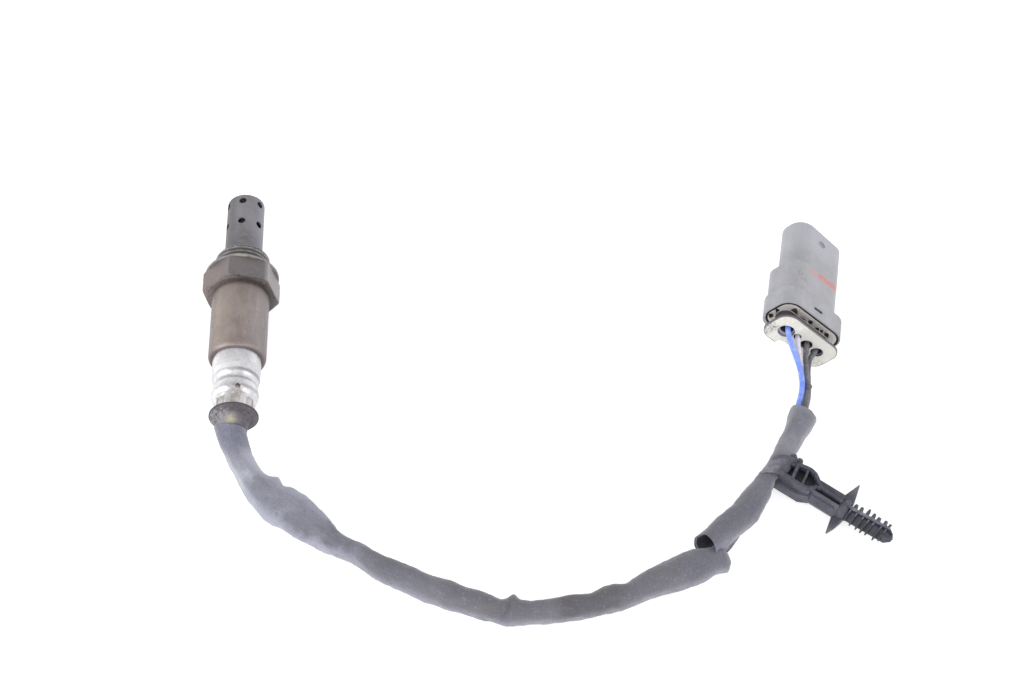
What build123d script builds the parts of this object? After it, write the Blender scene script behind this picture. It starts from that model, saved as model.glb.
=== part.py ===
from build123d import *
import os
from math import cos, sin, tan, radians, degrees, atan2, hypot

os.makedirs("parts", exist_ok=True)

# ---------------------------------------------------------------------------
# Heated four-wire oxygen sensor with its sleeved lead, harness clip and plug.
# Frame: the sensor lies on its side, its axis along Y, gas end towards +Y.
# The origin is on the axis in the gasket's sealing face; +Z is up.  Millimetres.
# ---------------------------------------------------------------------------

# driving dimensions: threaded body
thread_r = 9.0             # M18 x 1.5 major radius
thread_end = 6.3           # threaded length in front of the seat
nose_y = 7.1               # front face of the threaded body
hex_af = 22.0              # spanner size
hex_r = hex_af / 2 / cos(radians(30))
gasket_t = 0.8             # gasket, crushed flat against the hexagon
gasket_r = 12.15           # its outer radius, a little past the flats
hex_len = 9.4              # rear face of the hexagon, behind the origin
hex_turn = -17.0           # angle of one corner seen along +Y
floor_z = -hex_r * sin(radians(77.0))

# driving dimensions: protection tubes
tube_r = 6.2
tube_wall = 0.5
tube_end = 31.55
gas_hole_d = 2.5
gas_rows = (19.5, 28.35)
gas_first = 35.0

# driving dimensions: covers
barrel_r = 9.35
barrel_wall = 0.75
barrel_end = -35.6
sleeve_r = 7.8
sleeve_wall = 0.5
crimp_af = 12.7
crimp_turn = 62.0
boot_flange_r = 7.9
boot_face = -57.7          # rear face of the rubber boot's flange
boss_end = -63.0           # end of the boss, where the woven sleeve starts

# driving dimensions: lead set
loom_r = 4.3               # woven sleeve, outside
loom_bore = 2.7
lead_r = 0.875
lead_off = 1.05            # half the pitch of the 2 x 2 bundle
loom_z = floor_z + loom_r + 0.04

# route of the woven sleeve: centre line corner points
loom_route = [
    (0.0, boss_end, 0.0),
    (0.0, -68.4, 0.0),
    (1.5, -74.6, -1.7),
    (5.2, -80.4, -3.9),
    (11.2, -86.0, -6.0),
    (19.6, -91.8, -7.4),
    (31.0, -99.6, loom_z),
    (46.2, -109.2, loom_z),
    (62.9, -118.0, loom_z),
    (81.8, -125.9, loom_z),
    (99.7, -126.1, loom_z),
    (118.7, -121.8, loom_z),
    (136.4, -114.4, loom_z),
    (150.4, -103.9, loom_z),
    (162.2, -89.2, loom_z),
    (175.6, -68.6, loom_z),
    (181.1, -54.5, loom_z),
]

# driving dimensions: harness clip
strap_at = (170.22, -76.88, loom_z)
strap_dir = (0.5454, 0.8382, 0.0)
strap_w = 5.6
neck_r = 3.1               # sleeve pinched by the strap
strap_r = 3.95
strap_shift = 0.3          # strap thicker on the head's side
clip_origin = (168.74, -75.31, loom_z)
clip_turn = -40.0

# driving dimensions: plug
plug_origin = (182.82, -27.24, 0.66)
plug_yaw = 10.5
plug_roll = -41.2
plug_dip = 2.2
pitch = 4.6
cavity_u = (-1.5 * pitch, -0.5 * pitch, 0.5 * pitch, 1.5 * pitch)
cavity_v = 0.4
shell_front = 37.8


# ---------------------------------------------------------------------------
# helpers for the routes
# ---------------------------------------------------------------------------
def corner_radii(points):
    """0.45 of the shorter run over the tangent of half the turn."""
    p = [Vector(*q) for q in points]
    out = []
    for a, b, c in zip(p[:-2], p[1:-1], p[2:]):
        turn = (b - a).get_angle(c - b)
        out.append(0.45 * min((b - a).length, (c - b).length) / tan(radians(turn / 2)))
    return out


def beside(points, side, up):
    """The same route moved sideways and up, each corner mitred."""
    out = []
    n = len(points)
    for i, (x, y, z) in enumerate(points):
        norms = []
        for j in (i - 1, i):
            if 0 <= j < n - 1:
                dx = points[j + 1][0] - points[j][0]
                dy = points[j + 1][1] - points[j][1]
                k = hypot(dx, dy)
                norms.append((-dy / k, dx / k))
        if len(norms) == 1:
            mx, my = norms[0]
        else:
            d = 1 + norms[0][0] * norms[1][0] + norms[0][1] * norms[1][1]
            mx = (norms[0][0] + norms[1][0]) / d
            my = (norms[0][1] + norms[1][1]) / d
        out.append((x + side * mx, y + side * my, z + up))
    return out


# section plane across the sensor: local x = X, local y = Z, extrudes towards -Y
def across(y):
    return Plane(origin=(0, y, 0), x_dir=(1, 0, 0), z_dir=(0, -1, 0))


# ---------------------------------------------------------------------------
# gas end
# ---------------------------------------------------------------------------
with BuildPart() as outer_protection_tube:
    with BuildSketch(Plane.XY):
        with BuildLine():
            Polyline(
                (tube_r - tube_wall, nose_y),
                (7.45, nose_y),
                (7.45, nose_y + 0.45),
                (6.95, nose_y + 1.15),
                (6.35, nose_y + 1.75),
                (tube_r, nose_y + 2.6),
                (tube_r, tube_end - 1.3),
            )
            RadiusArc((tube_r, tube_end - 1.3), (tube_r - 1.3, tube_end), -1.3)
            Polyline(
                (tube_r - 1.3, tube_end),
                (0, tube_end),
                (0, tube_end - tube_wall),
                (tube_r - 1.3, tube_end - tube_wall),
            )
            RadiusArc((tube_r - 1.3, tube_end - tube_wall), (tube_r - tube_wall, tube_end - 1.3), 0.8)
            Line((tube_r - tube_wall, tube_end - 1.3), (tube_r - tube_wall, nose_y))
        make_face()
    revolve(axis=Axis.Y)
    for y in gas_rows:
        for k in range(6):
            a = radians(gas_first + 60 * k)
            with BuildSketch(Plane(origin=(0, y, 0), x_dir=(0, 1, 0), z_dir=(cos(a), 0, sin(a)))):
                Circle(gas_hole_d / 2)
            extrude(amount=9, mode=Mode.SUBTRACT)
outer_protection_tube.part.label = "outer_protection_tube"

with BuildPart() as inner_protection_tube:
    with BuildSketch(Plane.XY):
        with BuildLine():
            Polyline(
                (4.55, 1.0), (4.95, 1.0), (4.95, 25.5), (3.9, 26.7), (0, 26.7), (0, 26.3),
                (3.75, 26.3), (4.55, 25.35), close=True,
            )
        make_face()
    revolve(axis=Axis.Y)
    for y in (14.0, 23.5):
        for k in range(6):
            a = radians(5 + 60 * k)
            with BuildSketch(Plane(origin=(0, y, 0), x_dir=(0, 1, 0), z_dir=(cos(a), 0, sin(a)))):
                Circle(0.8)
            extrude(amount=7, mode=Mode.SUBTRACT)
inner_protection_tube.part.label = "inner_protection_tube"

# closed-end zirconia thimble with its sealing collar
with BuildPart() as sensing_element:
    with BuildSketch(Plane.XY):
        with BuildLine():
            Polyline(
                (0, 22.6), (0, 24.0), (1.4, 23.7), (2.5, 22.9), (3.05, 21.6), (4.1, -1.2),
                (6.15, -3.3), (6.15, -8.0), (4.55, -8.0), (4.55, -24.0), (2.2, -24.0),
                (2.2, 20.9), (1.4, 22.2), close=True,
            )
        make_face()
    revolve(axis=Axis.Y)
sensing_element.part.label = "sensing_element"

with BuildPart() as heater_rod:
    with BuildSketch(across(19.0)):
        Circle(1.5)
    extrude(amount=49.5)
    chamfer(heater_rod.edges().group_by(Axis.Y)[-1], 0.4)
heater_rod.part.label = "heater_rod"

# folded crush ring held under the hexagon
with BuildPart() as seat_gasket:
    with BuildSketch(Plane.XY) as gasket_section:
        with BuildLine():
            Polyline((9.1, -gasket_t), (gasket_r, -gasket_t), (gasket_r, 0.0), (9.1, 0.0), close=True)
        make_face()
        fillet(gasket_section.vertices().group_by(Axis.X)[-1], 0.3)
    revolve(axis=Axis.Y)
seat_gasket.part.label = "seat_gasket"

# ---------------------------------------------------------------------------
# threaded body
# ---------------------------------------------------------------------------
with BuildPart() as hex_blank:
    with BuildSketch(across(-gasket_t)):
        RegularPolygon(radius=hex_r, side_count=6, rotation=hex_turn)
    extrude(amount=hex_len - gasket_t)
    with BuildSketch(Plane.XY):
        with BuildLine():
            Polyline(
                (0, -gasket_t), (10.95, -gasket_t), (13.0, -gasket_t - 1.05), (13.0, -hex_len + 1.05),
                (10.95, -hex_len), (0, -hex_len), close=True,
            )
        make_face()
    revolve(axis=Axis.Y, mode=Mode.INTERSECT)

with BuildPart() as hex_housing:
    with BuildSketch(Plane.XY):
        with BuildLine():
            Polyline(
                (0, nose_y), (8.1, nose_y), (thread_r, thread_end), (thread_r, 0.9), (8.4, 0.5),
                (8.4, -1.6), (8.55, -1.6), (8.55, -12.6), (7.25, -13.2), (7.25, -20.4),
                (6.7, -21.1), (0, -21.1), close=True,
            )
        make_face()
    revolve(axis=Axis.Y)
    add(hex_blank.part)
    # stepped bore: tube seat, element shoulder, packing chamber, rolled lip
    with BuildSketch(Plane.XY):
        with BuildLine():
            Polyline(
                (0, nose_y + 1), (5.0, nose_y + 1), (5.0, -1.9), (6.3, -3.2), (6.3, -20.2),
                (5.35, -20.2), (5.35, -22.0), (0, -22.0), close=True,
            )
        make_face()
    revolve(axis=Axis.Y, mode=Mode.SUBTRACT)
hex_housing.part.label = "hex_housing"

with BuildPart() as talc_packing:
    with BuildSketch(across(-8.05)):
        Circle(6.25)
        Circle(4.6, mode=Mode.SUBTRACT)
    extrude(amount=5.4)
talc_packing.part.label = "talc_packing"

with BuildPart() as lower_bush:
    with BuildSketch(across(-13.5)):
        Circle(6.2)
        Circle(4.65, mode=Mode.SUBTRACT)
    extrude(amount=5.3)
    chamfer(lower_bush.edges().filter_by(GeomType.CIRCLE).group_by(Axis.Y)[-1], 0.25)
lower_bush.part.label = "lower_bush"

with BuildPart() as crimp_ring:
    with BuildSketch(across(-18.85)):
        Circle(6.2)
        Circle(4.75, mode=Mode.SUBTRACT)
    extrude(amount=1.3)
crimp_ring.part.label = "crimp_ring"

# spring contacts of the two electrodes
with BuildPart() as outer_contact_ring:
    with BuildSketch(across(-21.6)):
        Circle(4.95)
        Circle(4.6, mode=Mode.SUBTRACT)
    extrude(amount=4.0)
    with BuildSketch(Plane(origin=(0, -25.6, 0), x_dir=(1, 0, 0), z_dir=(0, -1, 0))):
        with Locations((4.775, 0)):
            Rectangle(0.35, 1.6)
    extrude(amount=5.2)
    with BuildSketch(across(-20.0)):
        Rectangle(1.1, 12)
    extrude(amount=-6, mode=Mode.SUBTRACT)
outer_contact_ring.part.label = "outer_contact_ring"

with BuildPart() as inner_contact_tube:
    with BuildSketch(across(-14.0)):
        Circle(2.12)
        Circle(1.6, mode=Mode.SUBTRACT)
    extrude(amount=13.0)
inner_contact_tube.part.label = "inner_contact_tube"

# ---------------------------------------------------------------------------
# covers
# ---------------------------------------------------------------------------
barrel_in = barrel_r - barrel_wall
with BuildPart() as barrel_cover:
    with BuildSketch(Plane.XY):
        with BuildLine():
            Line((barrel_in, -hex_len), (barrel_r, -hex_len))
            Line((barrel_r, -hex_len), (barrel_r, barrel_end + 1.75))
            RadiusArc((barrel_r, barrel_end + 1.75), (barrel_r - 1.5, barrel_end), 1.8)
            Line((barrel_r - 1.5, barrel_end), (barrel_r - 1.5, barrel_end + 0.75))
            RadiusArc((barrel_r - 1.5, barrel_end + 0.75), (barrel_in, barrel_end + 1.75), -1.05)
            Line((barrel_in, barrel_end + 1.75), (barrel_in, -hex_len))
        make_face()
    revolve(axis=Axis.Y)
barrel_cover.part.label = "barrel_cover"

# rear sleeve: turned-in groove, bead, eight-jaw crimp on the boot, one vent
with BuildPart() as rear_cover:
    with BuildSketch(Plane.XY):
        with BuildLine():
            Polyline((7.3, -13.4), (sleeve_r, -13.4), (sleeve_r, -42.8))
            Spline(
                (sleeve_r, -42.8), (7.5, -44.2), (6.98, -45.3), (7.42, -46.5), (7.62, -47.9),
                (7.62, -49.8), (7.2, -51.3), (6.9, -52.2),
                tangents=((0, -1), (0, -1)),
            )
            Polyline(
                (6.9, -52.2), (6.9, -56.7), (5.85, -56.7), (5.85, -51.9), (6.35, -51.4),
                (7.05, -49.9), (7.05, -47.9), (6.5, -46.2), (6.45, -45.3), (6.7, -44.5),
                (7.3, -43.2), (7.3, -13.4),
            )
        make_face()
    revolve(axis=Axis.Y)
    with BuildSketch(across(-52.0)):
        Circle(9)
        RegularPolygon(
            radius=crimp_af / 2, side_count=8, major_radius=False, rotation=crimp_turn,
            mode=Mode.SUBTRACT,
        )
    extrude(amount=4.8, mode=Mode.SUBTRACT)
    a = radians(76.7)
    with BuildSketch(Plane(origin=(0, -50.1, 0), x_dir=(0, 1, 0), z_dir=(cos(a), 0, sin(a)))):
        Circle(0.75)
    extrude(amount=9, mode=Mode.SUBTRACT)
rear_cover.part.label = "rear_cover"

with BuildPart() as spring_washer:
    with BuildSketch(Plane.XY):
        with BuildLine():
            Polyline((5.5, -27.6), (7.15, -30.7), (7.15, -31.3), (5.5, -28.2), close=True)
        make_face()
    revolve(axis=Axis.Y)
spring_washer.part.label = "spring_washer"

with BuildPart() as terminal_insulator:
    with BuildSketch(across(-31.4)):
        Circle(7.2)
        Circle(2.9, mode=Mode.SUBTRACT)
    extrude(amount=11.6)
    chamfer(terminal_insulator.edges().filter_by(GeomType.CIRCLE).sort_by(SortBy.RADIUS)[-2:], 0.4)
    with BuildSketch(across(-31.4)):
        with PolarLocations(5.0, 4, start_angle=45):
            Circle(0.7)
    extrude(amount=11.6, mode=Mode.SUBTRACT)
terminal_insulator.part.label = "terminal_insulator"

with BuildPart() as vent_filter:
    with BuildSketch(across(-47.4)):
        Circle(6.55)
        Circle(6.05, mode=Mode.SUBTRACT)
    extrude(amount=3.2)
vent_filter.part.label = "vent_filter"

bundle = [
    ("blue", lead_off, lead_off),
    ("white", lead_off, -lead_off),
    ("black_a", -lead_off, lead_off),
    ("black_b", -lead_off, -lead_off),
]

# rubber boot: plug body, flange and the spigot inside the woven sleeve
with BuildPart() as cable_boot:
    with BuildSketch(Plane.XY):
        with BuildLine():
            Polyline(
                (0, -46.4), (5.7, -46.4), (6.0, -46.8), (6.0, -51.3), (5.8, -51.7), (5.8, -56.8),
                (7.6, -56.8), (boot_flange_r, -57.0), (boot_flange_r, boot_face + 0.25),
                (7.55, boot_face), (5.5, boot_face), (5.15, -58.5), (4.8, -60.4), (4.5, boss_end + 0.5),
                (4.1, boss_end), (2.65, boss_end), (2.65, -64.7), (2.4, -65.0), (0, -65.0), close=True,
            )
        make_face()
    revolve(axis=Axis.Y)
    with BuildSketch(across(-46.0)):
        with Locations(*[(side, up) for _, side, up in bundle]):
            Circle(lead_r + 0.03)
    extrude(amount=20, mode=Mode.SUBTRACT)
cable_boot.part.label = "cable_boot"

# crimped terminals between the leads and the element
terminals = []
for name, side, up in bundle:
    with BuildPart() as terminal:
        with BuildSketch(across(-42.6)):
            with Locations((side, up)):
                Circle(0.85)
        extrude(amount=11.8)
        with BuildSketch(across(-31.8)):
            with Locations((side, up)):
                Rectangle(0.5, 1.5)
        extrude(amount=10.9)
    terminal.part.label = "terminal_" + name
    terminals.append(terminal)

# ---------------------------------------------------------------------------
# plug: local x = wide way, local y = narrow way, local z = back towards the leads
# ---------------------------------------------------------------------------
yaw, roll, dip = radians(plug_yaw), radians(plug_roll), radians(plug_dip)
fwd = Vector(sin(yaw) * cos(dip), cos(yaw) * cos(dip), -sin(dip))
level = Vector(cos(yaw), -sin(yaw), 0)
rise = Vector(sin(yaw) * sin(dip), cos(yaw) * sin(dip), cos(dip))
wide = level * cos(roll) + rise * sin(roll)
narrow = level * -sin(roll) + rise * cos(roll)
plug = Plane(origin=plug_origin, x_dir=wide, z_dir=fwd * -1)


def at_plug(s):
    """Section plane s millimetres in front of the shell's rear rim."""
    return plug.offset(-s)


with BuildPart() as connector_shell:
    # rear flange, middle, front housing
    with BuildSketch(at_plug(0)):
        with Locations((0.1, -0.35)):
            RectangleRounded(26.5, 15.4, 5.1)
    extrude(amount=-7.75)
    shoulder = (
        connector_shell.faces()
        .filter_by(lambda f: f.geom_type == GeomType.PLANE)
        .sort_by(Axis(plug.origin, fwd))[-1]
    )
    fillet(shoulder.edges(), 0.6)
    with BuildSketch(at_plug(7.0)):
        with Locations((-1.2, -0.3)):
            RectangleRounded(21.5, 14.9, 4.5)
    extrude(amount=-12.4)
    with BuildSketch(at_plug(19.3)):
        with Locations((-3.4, 0.2)):
            RectangleRounded(14.2, 12.5, 5.5)
        with Locations((1.8, 0.2)):
            RectangleRounded(15.7, 12.5, 3.3)
    extrude(amount=-(shell_front + 2 - 19.3))
    # mating end, slightly out of square
    with BuildSketch(Plane(origin=plug.origin, x_dir=wide, z_dir=narrow)):
        with BuildLine():
            Polyline(
                (-15, shell_front + 1.35), (15, shell_front - 1.35), (15, shell_front + 6),
                (-15, shell_front + 6), close=True,
            )
        make_face()
    extrude(amount=12, both=True, mode=Mode.SUBTRACT)
    front = connector_shell.faces().sort_by(Axis(plug.origin, fwd))[-1]
    fillet(front.edges(), 0.8)
    # rear recess for the seal and the retainer
    with BuildSketch(at_plug(0)):
        with Locations((0.1, -0.1)):
            RectangleRounded(25.3, 13.3, 4.6)
    extrude(amount=-6.6, mode=Mode.SUBTRACT)
    # four contact cavities, narrowed at the mating face
    with BuildSketch(at_plug(6.6)):
        with Locations(*[(u, cavity_v) for u in cavity_u]):
            RectangleRounded(3.2, 4.4, 0.4)
    extrude(amount=-27.4, mode=Mode.SUBTRACT)
    with BuildSketch(at_plug(33.5)):
        with Locations(*[(u, cavity_v) for u in cavity_u]):
            RectangleRounded(1.5, 2.8, 0.3)
    extrude(amount=-7, mode=Mode.SUBTRACT)
    # latch window on the top, gate dimple near the front
    with BuildSketch(Plane(origin=plug.origin + fwd * 3.3 - wide * 0.5 + narrow * 9, x_dir=wide, z_dir=narrow)):
        RectangleRounded(3.6, 1.1, 0.3)
    extrude(amount=-3.0, mode=Mode.SUBTRACT)
    with BuildSketch(Plane(origin=plug.origin + fwd * 32.8 - wide * 0.7 + narrow * 8, x_dir=wide, z_dir=narrow)):
        Ellipse(1.4, 0.9)
    extrude(amount=-1.8, mode=Mode.SUBTRACT)
connector_shell.part.label = "connector_shell"

with BuildPart() as rear_retainer:
    # outer plate
    with BuildSketch(at_plug(-5.8)):
        with Locations((0, -0.1)):
            RectangleRounded(25.8, 13.5, 4.5)
        with Locations((0, -7.2)):
            RectangleRounded(9.6, 4.0, 1.0, mode=Mode.SUBTRACT)
    extrude(amount=-2.3)
    fillet(rear_retainer.faces().sort_by(Axis(plug.origin, fwd))[0].edges(), 0.45)
    # neck between the plates
    with BuildSketch(at_plug(-3.5)):
        with Locations((0, 0.4)):
            RectangleRounded(21.0, 8.2, 3.2)
    extrude(amount=-2.8)
    # inner plate, let into the shell's rim
    with BuildSketch(at_plug(-0.7)):
        with Locations((0.1, -0.1)):
            RectangleRounded(25.0, 13.0, 4.45)
        with Locations((-7.6, 4.85)):
            SlotOverall(5.4, 1.5, mode=Mode.SUBTRACT)
        with Locations((-2.6, 5.1), (0.0, 5.2), (4.4, 5.2), (7.0, 5.0)):
            RectangleRounded(1.5, 1.1, 0.3, mode=Mode.SUBTRACT)
    extrude(amount=-2.3)
    # four lead holes
    with BuildSketch(at_plug(-7)):
        with Locations((cavity_u[0], cavity_v)):
            Circle(2.5)
        with Locations(*[(u, cavity_v) for u in cavity_u[1:]]):
            Circle(1.9)
    extrude(amount=-12, mode=Mode.SUBTRACT)
rear_retainer.part.label = "rear_retainer"

with BuildPart() as wire_seal:
    with BuildSketch(at_plug(1.65)):
        with Locations((0.1, -0.1)):
            RectangleRounded(25.1, 13.1, 4.5)
        with Locations(*[(u, cavity_v) for u in cavity_u]):
            Circle(lead_r + 0.03, mode=Mode.SUBTRACT)
    extrude(amount=-4.9)
wire_seal.part.label = "wire_seal"

contacts = []
for k, u in enumerate(cavity_u):
    with BuildPart() as contact:
        with BuildSketch(at_plug(2.1)):
            with Locations((u, cavity_v)):
                Circle(0.87)
        extrude(amount=-4.7)
        with BuildSketch(at_plug(6.7)):
            with Locations((u, cavity_v)):
                Circle(1.3)
        extrude(amount=-8.8)
        with BuildSketch(at_plug(15.5)):
            with Locations((u, cavity_v)):
                RectangleRounded(2.6, 3.6, 0.3)
        extrude(amount=-17.4)
        with BuildSketch(at_plug(24.0)):
            with Locations((u, cavity_v)):
                Rectangle(1.6, 2.6)
        extrude(amount=-10, mode=Mode.SUBTRACT)
    contact.part.label = "contact_" + str(k + 1)
    contacts.append(contact)

# ---------------------------------------------------------------------------
# leads: from the terminals, through the boot and the sleeve, into the plug
# ---------------------------------------------------------------------------
plug_end = [
    ("blue", cavity_u[0], 5.0, (180.6, -40.2, -0.6)),
    ("white", cavity_u[1], 6.6, (181.9, -39.6, -3.6)),
    ("black_a", cavity_u[2], 5.0, (184.3, -41.2, -4.2)),
    ("black_b", cavity_u[3], 6.6, (185.6, -41.6, -7.3)),
]
tail = Vector(*loom_route[-1]) - Vector(*loom_route[-2])
tail = tail.normalized()
lead_routes = {}
for (name, side, up), (_, u, on, mid) in zip(bundle, plug_end):
    body = beside(loom_route, side, up)
    body[0] = (side, -54.5, up)
    x, y, z = body.pop()
    hole = Vector(*plug_origin) + wide * u + narrow * cavity_v
    body += [(x + tail.X * on, y + tail.Y * on, z), mid, tuple(hole + fwd * -6.0), tuple(hole + fwd * 2.0)]
    lead_routes[name] = body

with BuildPart() as heat_sleeve:
    with BuildLine() as loom_path:
        loom_run = FilletPolyline(*loom_route, radius=corner_radii(loom_route))
    with BuildSketch(Plane(origin=loom_path.line @ 0, x_dir=(1, 0, 0), z_dir=loom_path.line % 0)):
        Circle(loom_r)
        Circle(loom_bore, mode=Mode.SUBTRACT)
    sweep()
    # waist under the strap
    with BuildSketch(Plane(origin=strap_at, x_dir=(0, 0, 1), z_dir=strap_dir)):
        Circle(loom_r + 1)
        Circle(neck_r, mode=Mode.SUBTRACT)
    extrude(amount=strap_w / 2 + 0.1, both=True, mode=Mode.SUBTRACT)
heat_sleeve.part.label = "heat_sleeve"

leads = []
for name, side, up in bundle:
    route = lead_routes[name]
    with BuildPart() as lead:
        with BuildLine() as lead_path:
            lead_run = FilletPolyline(*route, radius=corner_radii(route))
        with BuildSketch(Plane(origin=lead_path.line @ 0, x_dir=(1, 0, 0), z_dir=lead_path.line % 0)):
            Circle(lead_r)
        sweep()
    lead.part.label = "lead_" + name
    leads.append((lead, lead_run.length))

# ---------------------------------------------------------------------------
# harness clip: strap loop, head, stem and fir tree in one moulding
# local x = along the stem, local y = to the left of it, z up
# ---------------------------------------------------------------------------
clip = Plane(
    origin=clip_origin,
    x_dir=(cos(radians(clip_turn)), sin(radians(clip_turn)), 0),
    z_dir=(0, 0, 1),
)
strap_plane = Plane(origin=strap_at, x_dir=(0, 0, 1), z_dir=strap_dir)
with BuildPart() as fir_tree_clip:
    # strap round the sleeve; local y of its plane points at the head
    with BuildSketch(strap_plane):
        with Locations((0, strap_shift)):
            Circle(strap_r)
    extrude(amount=strap_w / 2, both=True)
    # head: wedge-shaped section, wide at its foot
    with BuildSketch(Plane(origin=clip.origin + clip.x_dir * 3.9, x_dir=clip.y_dir, z_dir=clip.x_dir)):
        with BuildLine():
            Polyline((-4.3, -3.2), (-4.5, -1.6), (-1.9, 3.1), (5.5, 3.1), (5.5, -3.2), close=True)
        make_face()
    extrude(amount=12.2)
    # its plan narrows to the stem
    with BuildSketch(clip.offset(-4)):
        with BuildLine():
            Polyline((3.0, 4.8), (7.2, 4.9), (11.0, 5.8), (14.0, 5.3), (17.0, 3.4), (17.0, 8), (3.0, 8), close=True)
        make_face()
        with BuildLine():
            Polyline((12.4, -6.5), (12.4, -4.2), (17.0, -2.2), (17.0, -6.5), close=True)
        make_face()
    extrude(amount=8, mode=Mode.SUBTRACT)
    # cut end of the strap beside the head
    with BuildSketch(clip.offset(-0.6)):
        with Locations((6.3, 5.8)):
            RectangleRounded(1.9, 3.2, 0.4)
    extrude(amount=2.4)
    # pockets in the head, a rib and a slanting strut between them
    with BuildSketch(clip.offset(3.1)):
        with BuildLine():
            Polyline(
                (8.3, 3.9), (11.2, 4.8), (13.6, 4.3), (15.3, 2.6), (15.4, 0.2), (14.6, -0.9), (12.6, -1.3),
                (9.2, -1.1), close=True,
            )
        make_face()
        with BuildLine():
            Polyline((5.0, 1.6), (6.9, 3.4), (8.0, -1.1), (5.8, -1.1), close=True)
        make_face()
        with BuildLine(mode=Mode.PRIVATE) as strut_line:
            Line((10.6, 5.4), (12.2, -2.2))
        add(trace(strut_line.line, line_width=0.8), mode=Mode.SUBTRACT)
    extrude(amount=-2.4, mode=Mode.SUBTRACT)
    # stem: sloping lower side, groove, rail, upper flat
    with BuildSketch(Plane(origin=clip.origin + clip.x_dir * 15.0, x_dir=clip.y_dir, z_dir=clip.x_dir)):
        with BuildLine():
            Polyline(
                (-2.5, -3.0), (-2.9, -1.4), (-0.5, 2.4), (-0.2, 1.1), (0.9, 1.1), (1.0, 2.8), (1.8, 2.8),
                (2.1, 1.9), (4.1, 1.9), (4.1, -3.0), close=True,
            )
        make_face()
    extrude(amount=10.6)
    # umbrella: hub and two thin leaves
    with BuildSketch(clip.offset(-2.6)):
        with Locations((26.6, 0.9)):
            RectangleRounded(3.4, 6.8, 1.2)
    extrude(amount=4.6)
    with BuildSketch(clip.offset(-0.9)):
        with BuildLine():
            Polyline((25.0, 2.6), (24.2, 5.0), (25.2, 11.3), (25.9, 11.5), (28.0, 4.6), (28.1, 2.6), close=True)
        make_face()
    extrude(amount=1.7)
    with BuildSketch(clip.offset(-2.6)):
        with BuildLine():
            Polyline((25.0, -1.6), (24.8, -3.6), (26.3, -8.9), (27.0, -9.0), (28.1, -3.2), (28.1, -1.6), close=True)
        make_face()
    extrude(amount=1.7)
    # fir tree: core, fins, spine
    with BuildSketch(clip.offset(-2.1)):
        with BuildLine():
            Polyline((27.6, -1.2), (41.9, -0.9), (44.2, 0.5), (44.2, 1.9), (41.9, 3.6), (27.6, 2.9), close=True)
        make_face()
        for k in range(6):
            x0 = 29.6 + 2.1 * k
            with BuildLine():
                Polyline(
                    (x0 + 0.3, 1.2), (x0 - 0.65, 5.2), (x0 - 0.1, 5.3), (x0 + 1.0, 1.2),
                    (x0 - 0.1, -2.6), (x0 - 0.65, -2.5), close=True,
                )
            make_face()
    extrude(amount=3.5)
    with BuildSketch(clip.offset(1.2)):
        with BuildLine():
            Polyline((27.8, 1.1), (42.4, 1.9), (42.4, 2.7), (27.8, 1.9), close=True)
        make_face()
    extrude(amount=1.0)
    # bore for the sleeve
    with BuildSketch(strap_plane):
        Circle(neck_r)
    extrude(amount=strap_w / 2 + 0.05, both=True, mode=Mode.SUBTRACT)
    # keep the head clear of the full sleeve on either side of the waist
    with BuildSketch(strap_plane.offset(strap_w / 2)):
        Circle(loom_r + 0.05)
    extrude(amount=14, mode=Mode.SUBTRACT)
    with BuildSketch(strap_plane.offset(-strap_w / 2)):
        Circle(loom_r + 0.05)
    extrude(amount=-14, mode=Mode.SUBTRACT)
fir_tree_clip.part.label = "fir_tree_clip"

# ---------------------------------------------------------------------------
# files
# ---------------------------------------------------------------------------
export_step(outer_protection_tube.part, "parts/outer_protection_tube.step")
export_step(inner_protection_tube.part, "parts/inner_protection_tube.step")
export_step(sensing_element.part, "parts/sensing_element.step")
export_step(heater_rod.part, "parts/heater_rod.step")
export_step(seat_gasket.part, "parts/seat_gasket.step")
export_step(hex_housing.part, "parts/hex_housing.step")
export_step(talc_packing.part, "parts/talc_packing.step")
export_step(lower_bush.part, "parts/lower_bush.step")
export_step(crimp_ring.part, "parts/crimp_ring.step")
export_step(outer_contact_ring.part, "parts/outer_contact_ring.step")
export_step(inner_contact_tube.part, "parts/inner_contact_tube.step")
export_step(barrel_cover.part, "parts/barrel_cover.step")
export_step(rear_cover.part, "parts/rear_cover.step")
export_step(spring_washer.part, "parts/spring_washer.step")
export_step(terminal_insulator.part, "parts/terminal_insulator.step")
export_step(vent_filter.part, "parts/vent_filter.step")
export_step(cable_boot.part, "parts/cable_boot.step")
for piece in terminals:
    export_step(piece.part, "parts/" + piece.part.label + ".step")
export_step(heat_sleeve.part, "parts/heat_sleeve.step")
for piece, length in leads:
    export_step(piece.part, "parts/" + piece.part.label + ".step")
export_step(fir_tree_clip.part, "parts/fir_tree_clip.step")
export_step(connector_shell.part, "parts/connector_shell.step")
export_step(rear_retainer.part, "parts/rear_retainer.step")
export_step(wire_seal.part, "parts/wire_seal.step")
for piece in contacts:
    export_step(piece.part, "parts/" + piece.part.label + ".step")

# corner radii and lengths of the cords
print("heat_sleeve radii", [round(r, 1) for r in corner_radii(loom_route)])
print("heat_sleeve length", round(loom_run.length, 1))
for (name, route), (piece, length) in zip(lead_routes.items(), leads):
    print("lead_" + name, "radii", [round(r, 1) for r in corner_radii(route)])
    print(
        "lead_" + name, "length", round(length, 1),
        "volume over section", round(piece.part.volume / (3.14159265 * lead_r ** 2), 1),
    )
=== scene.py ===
import bpy
from math import sin, cos, tan, pi, radians, degrees, sqrt, atan2, hypot, exp, floor
from mathutils import Vector, Matrix, noise
import bmesh


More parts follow.
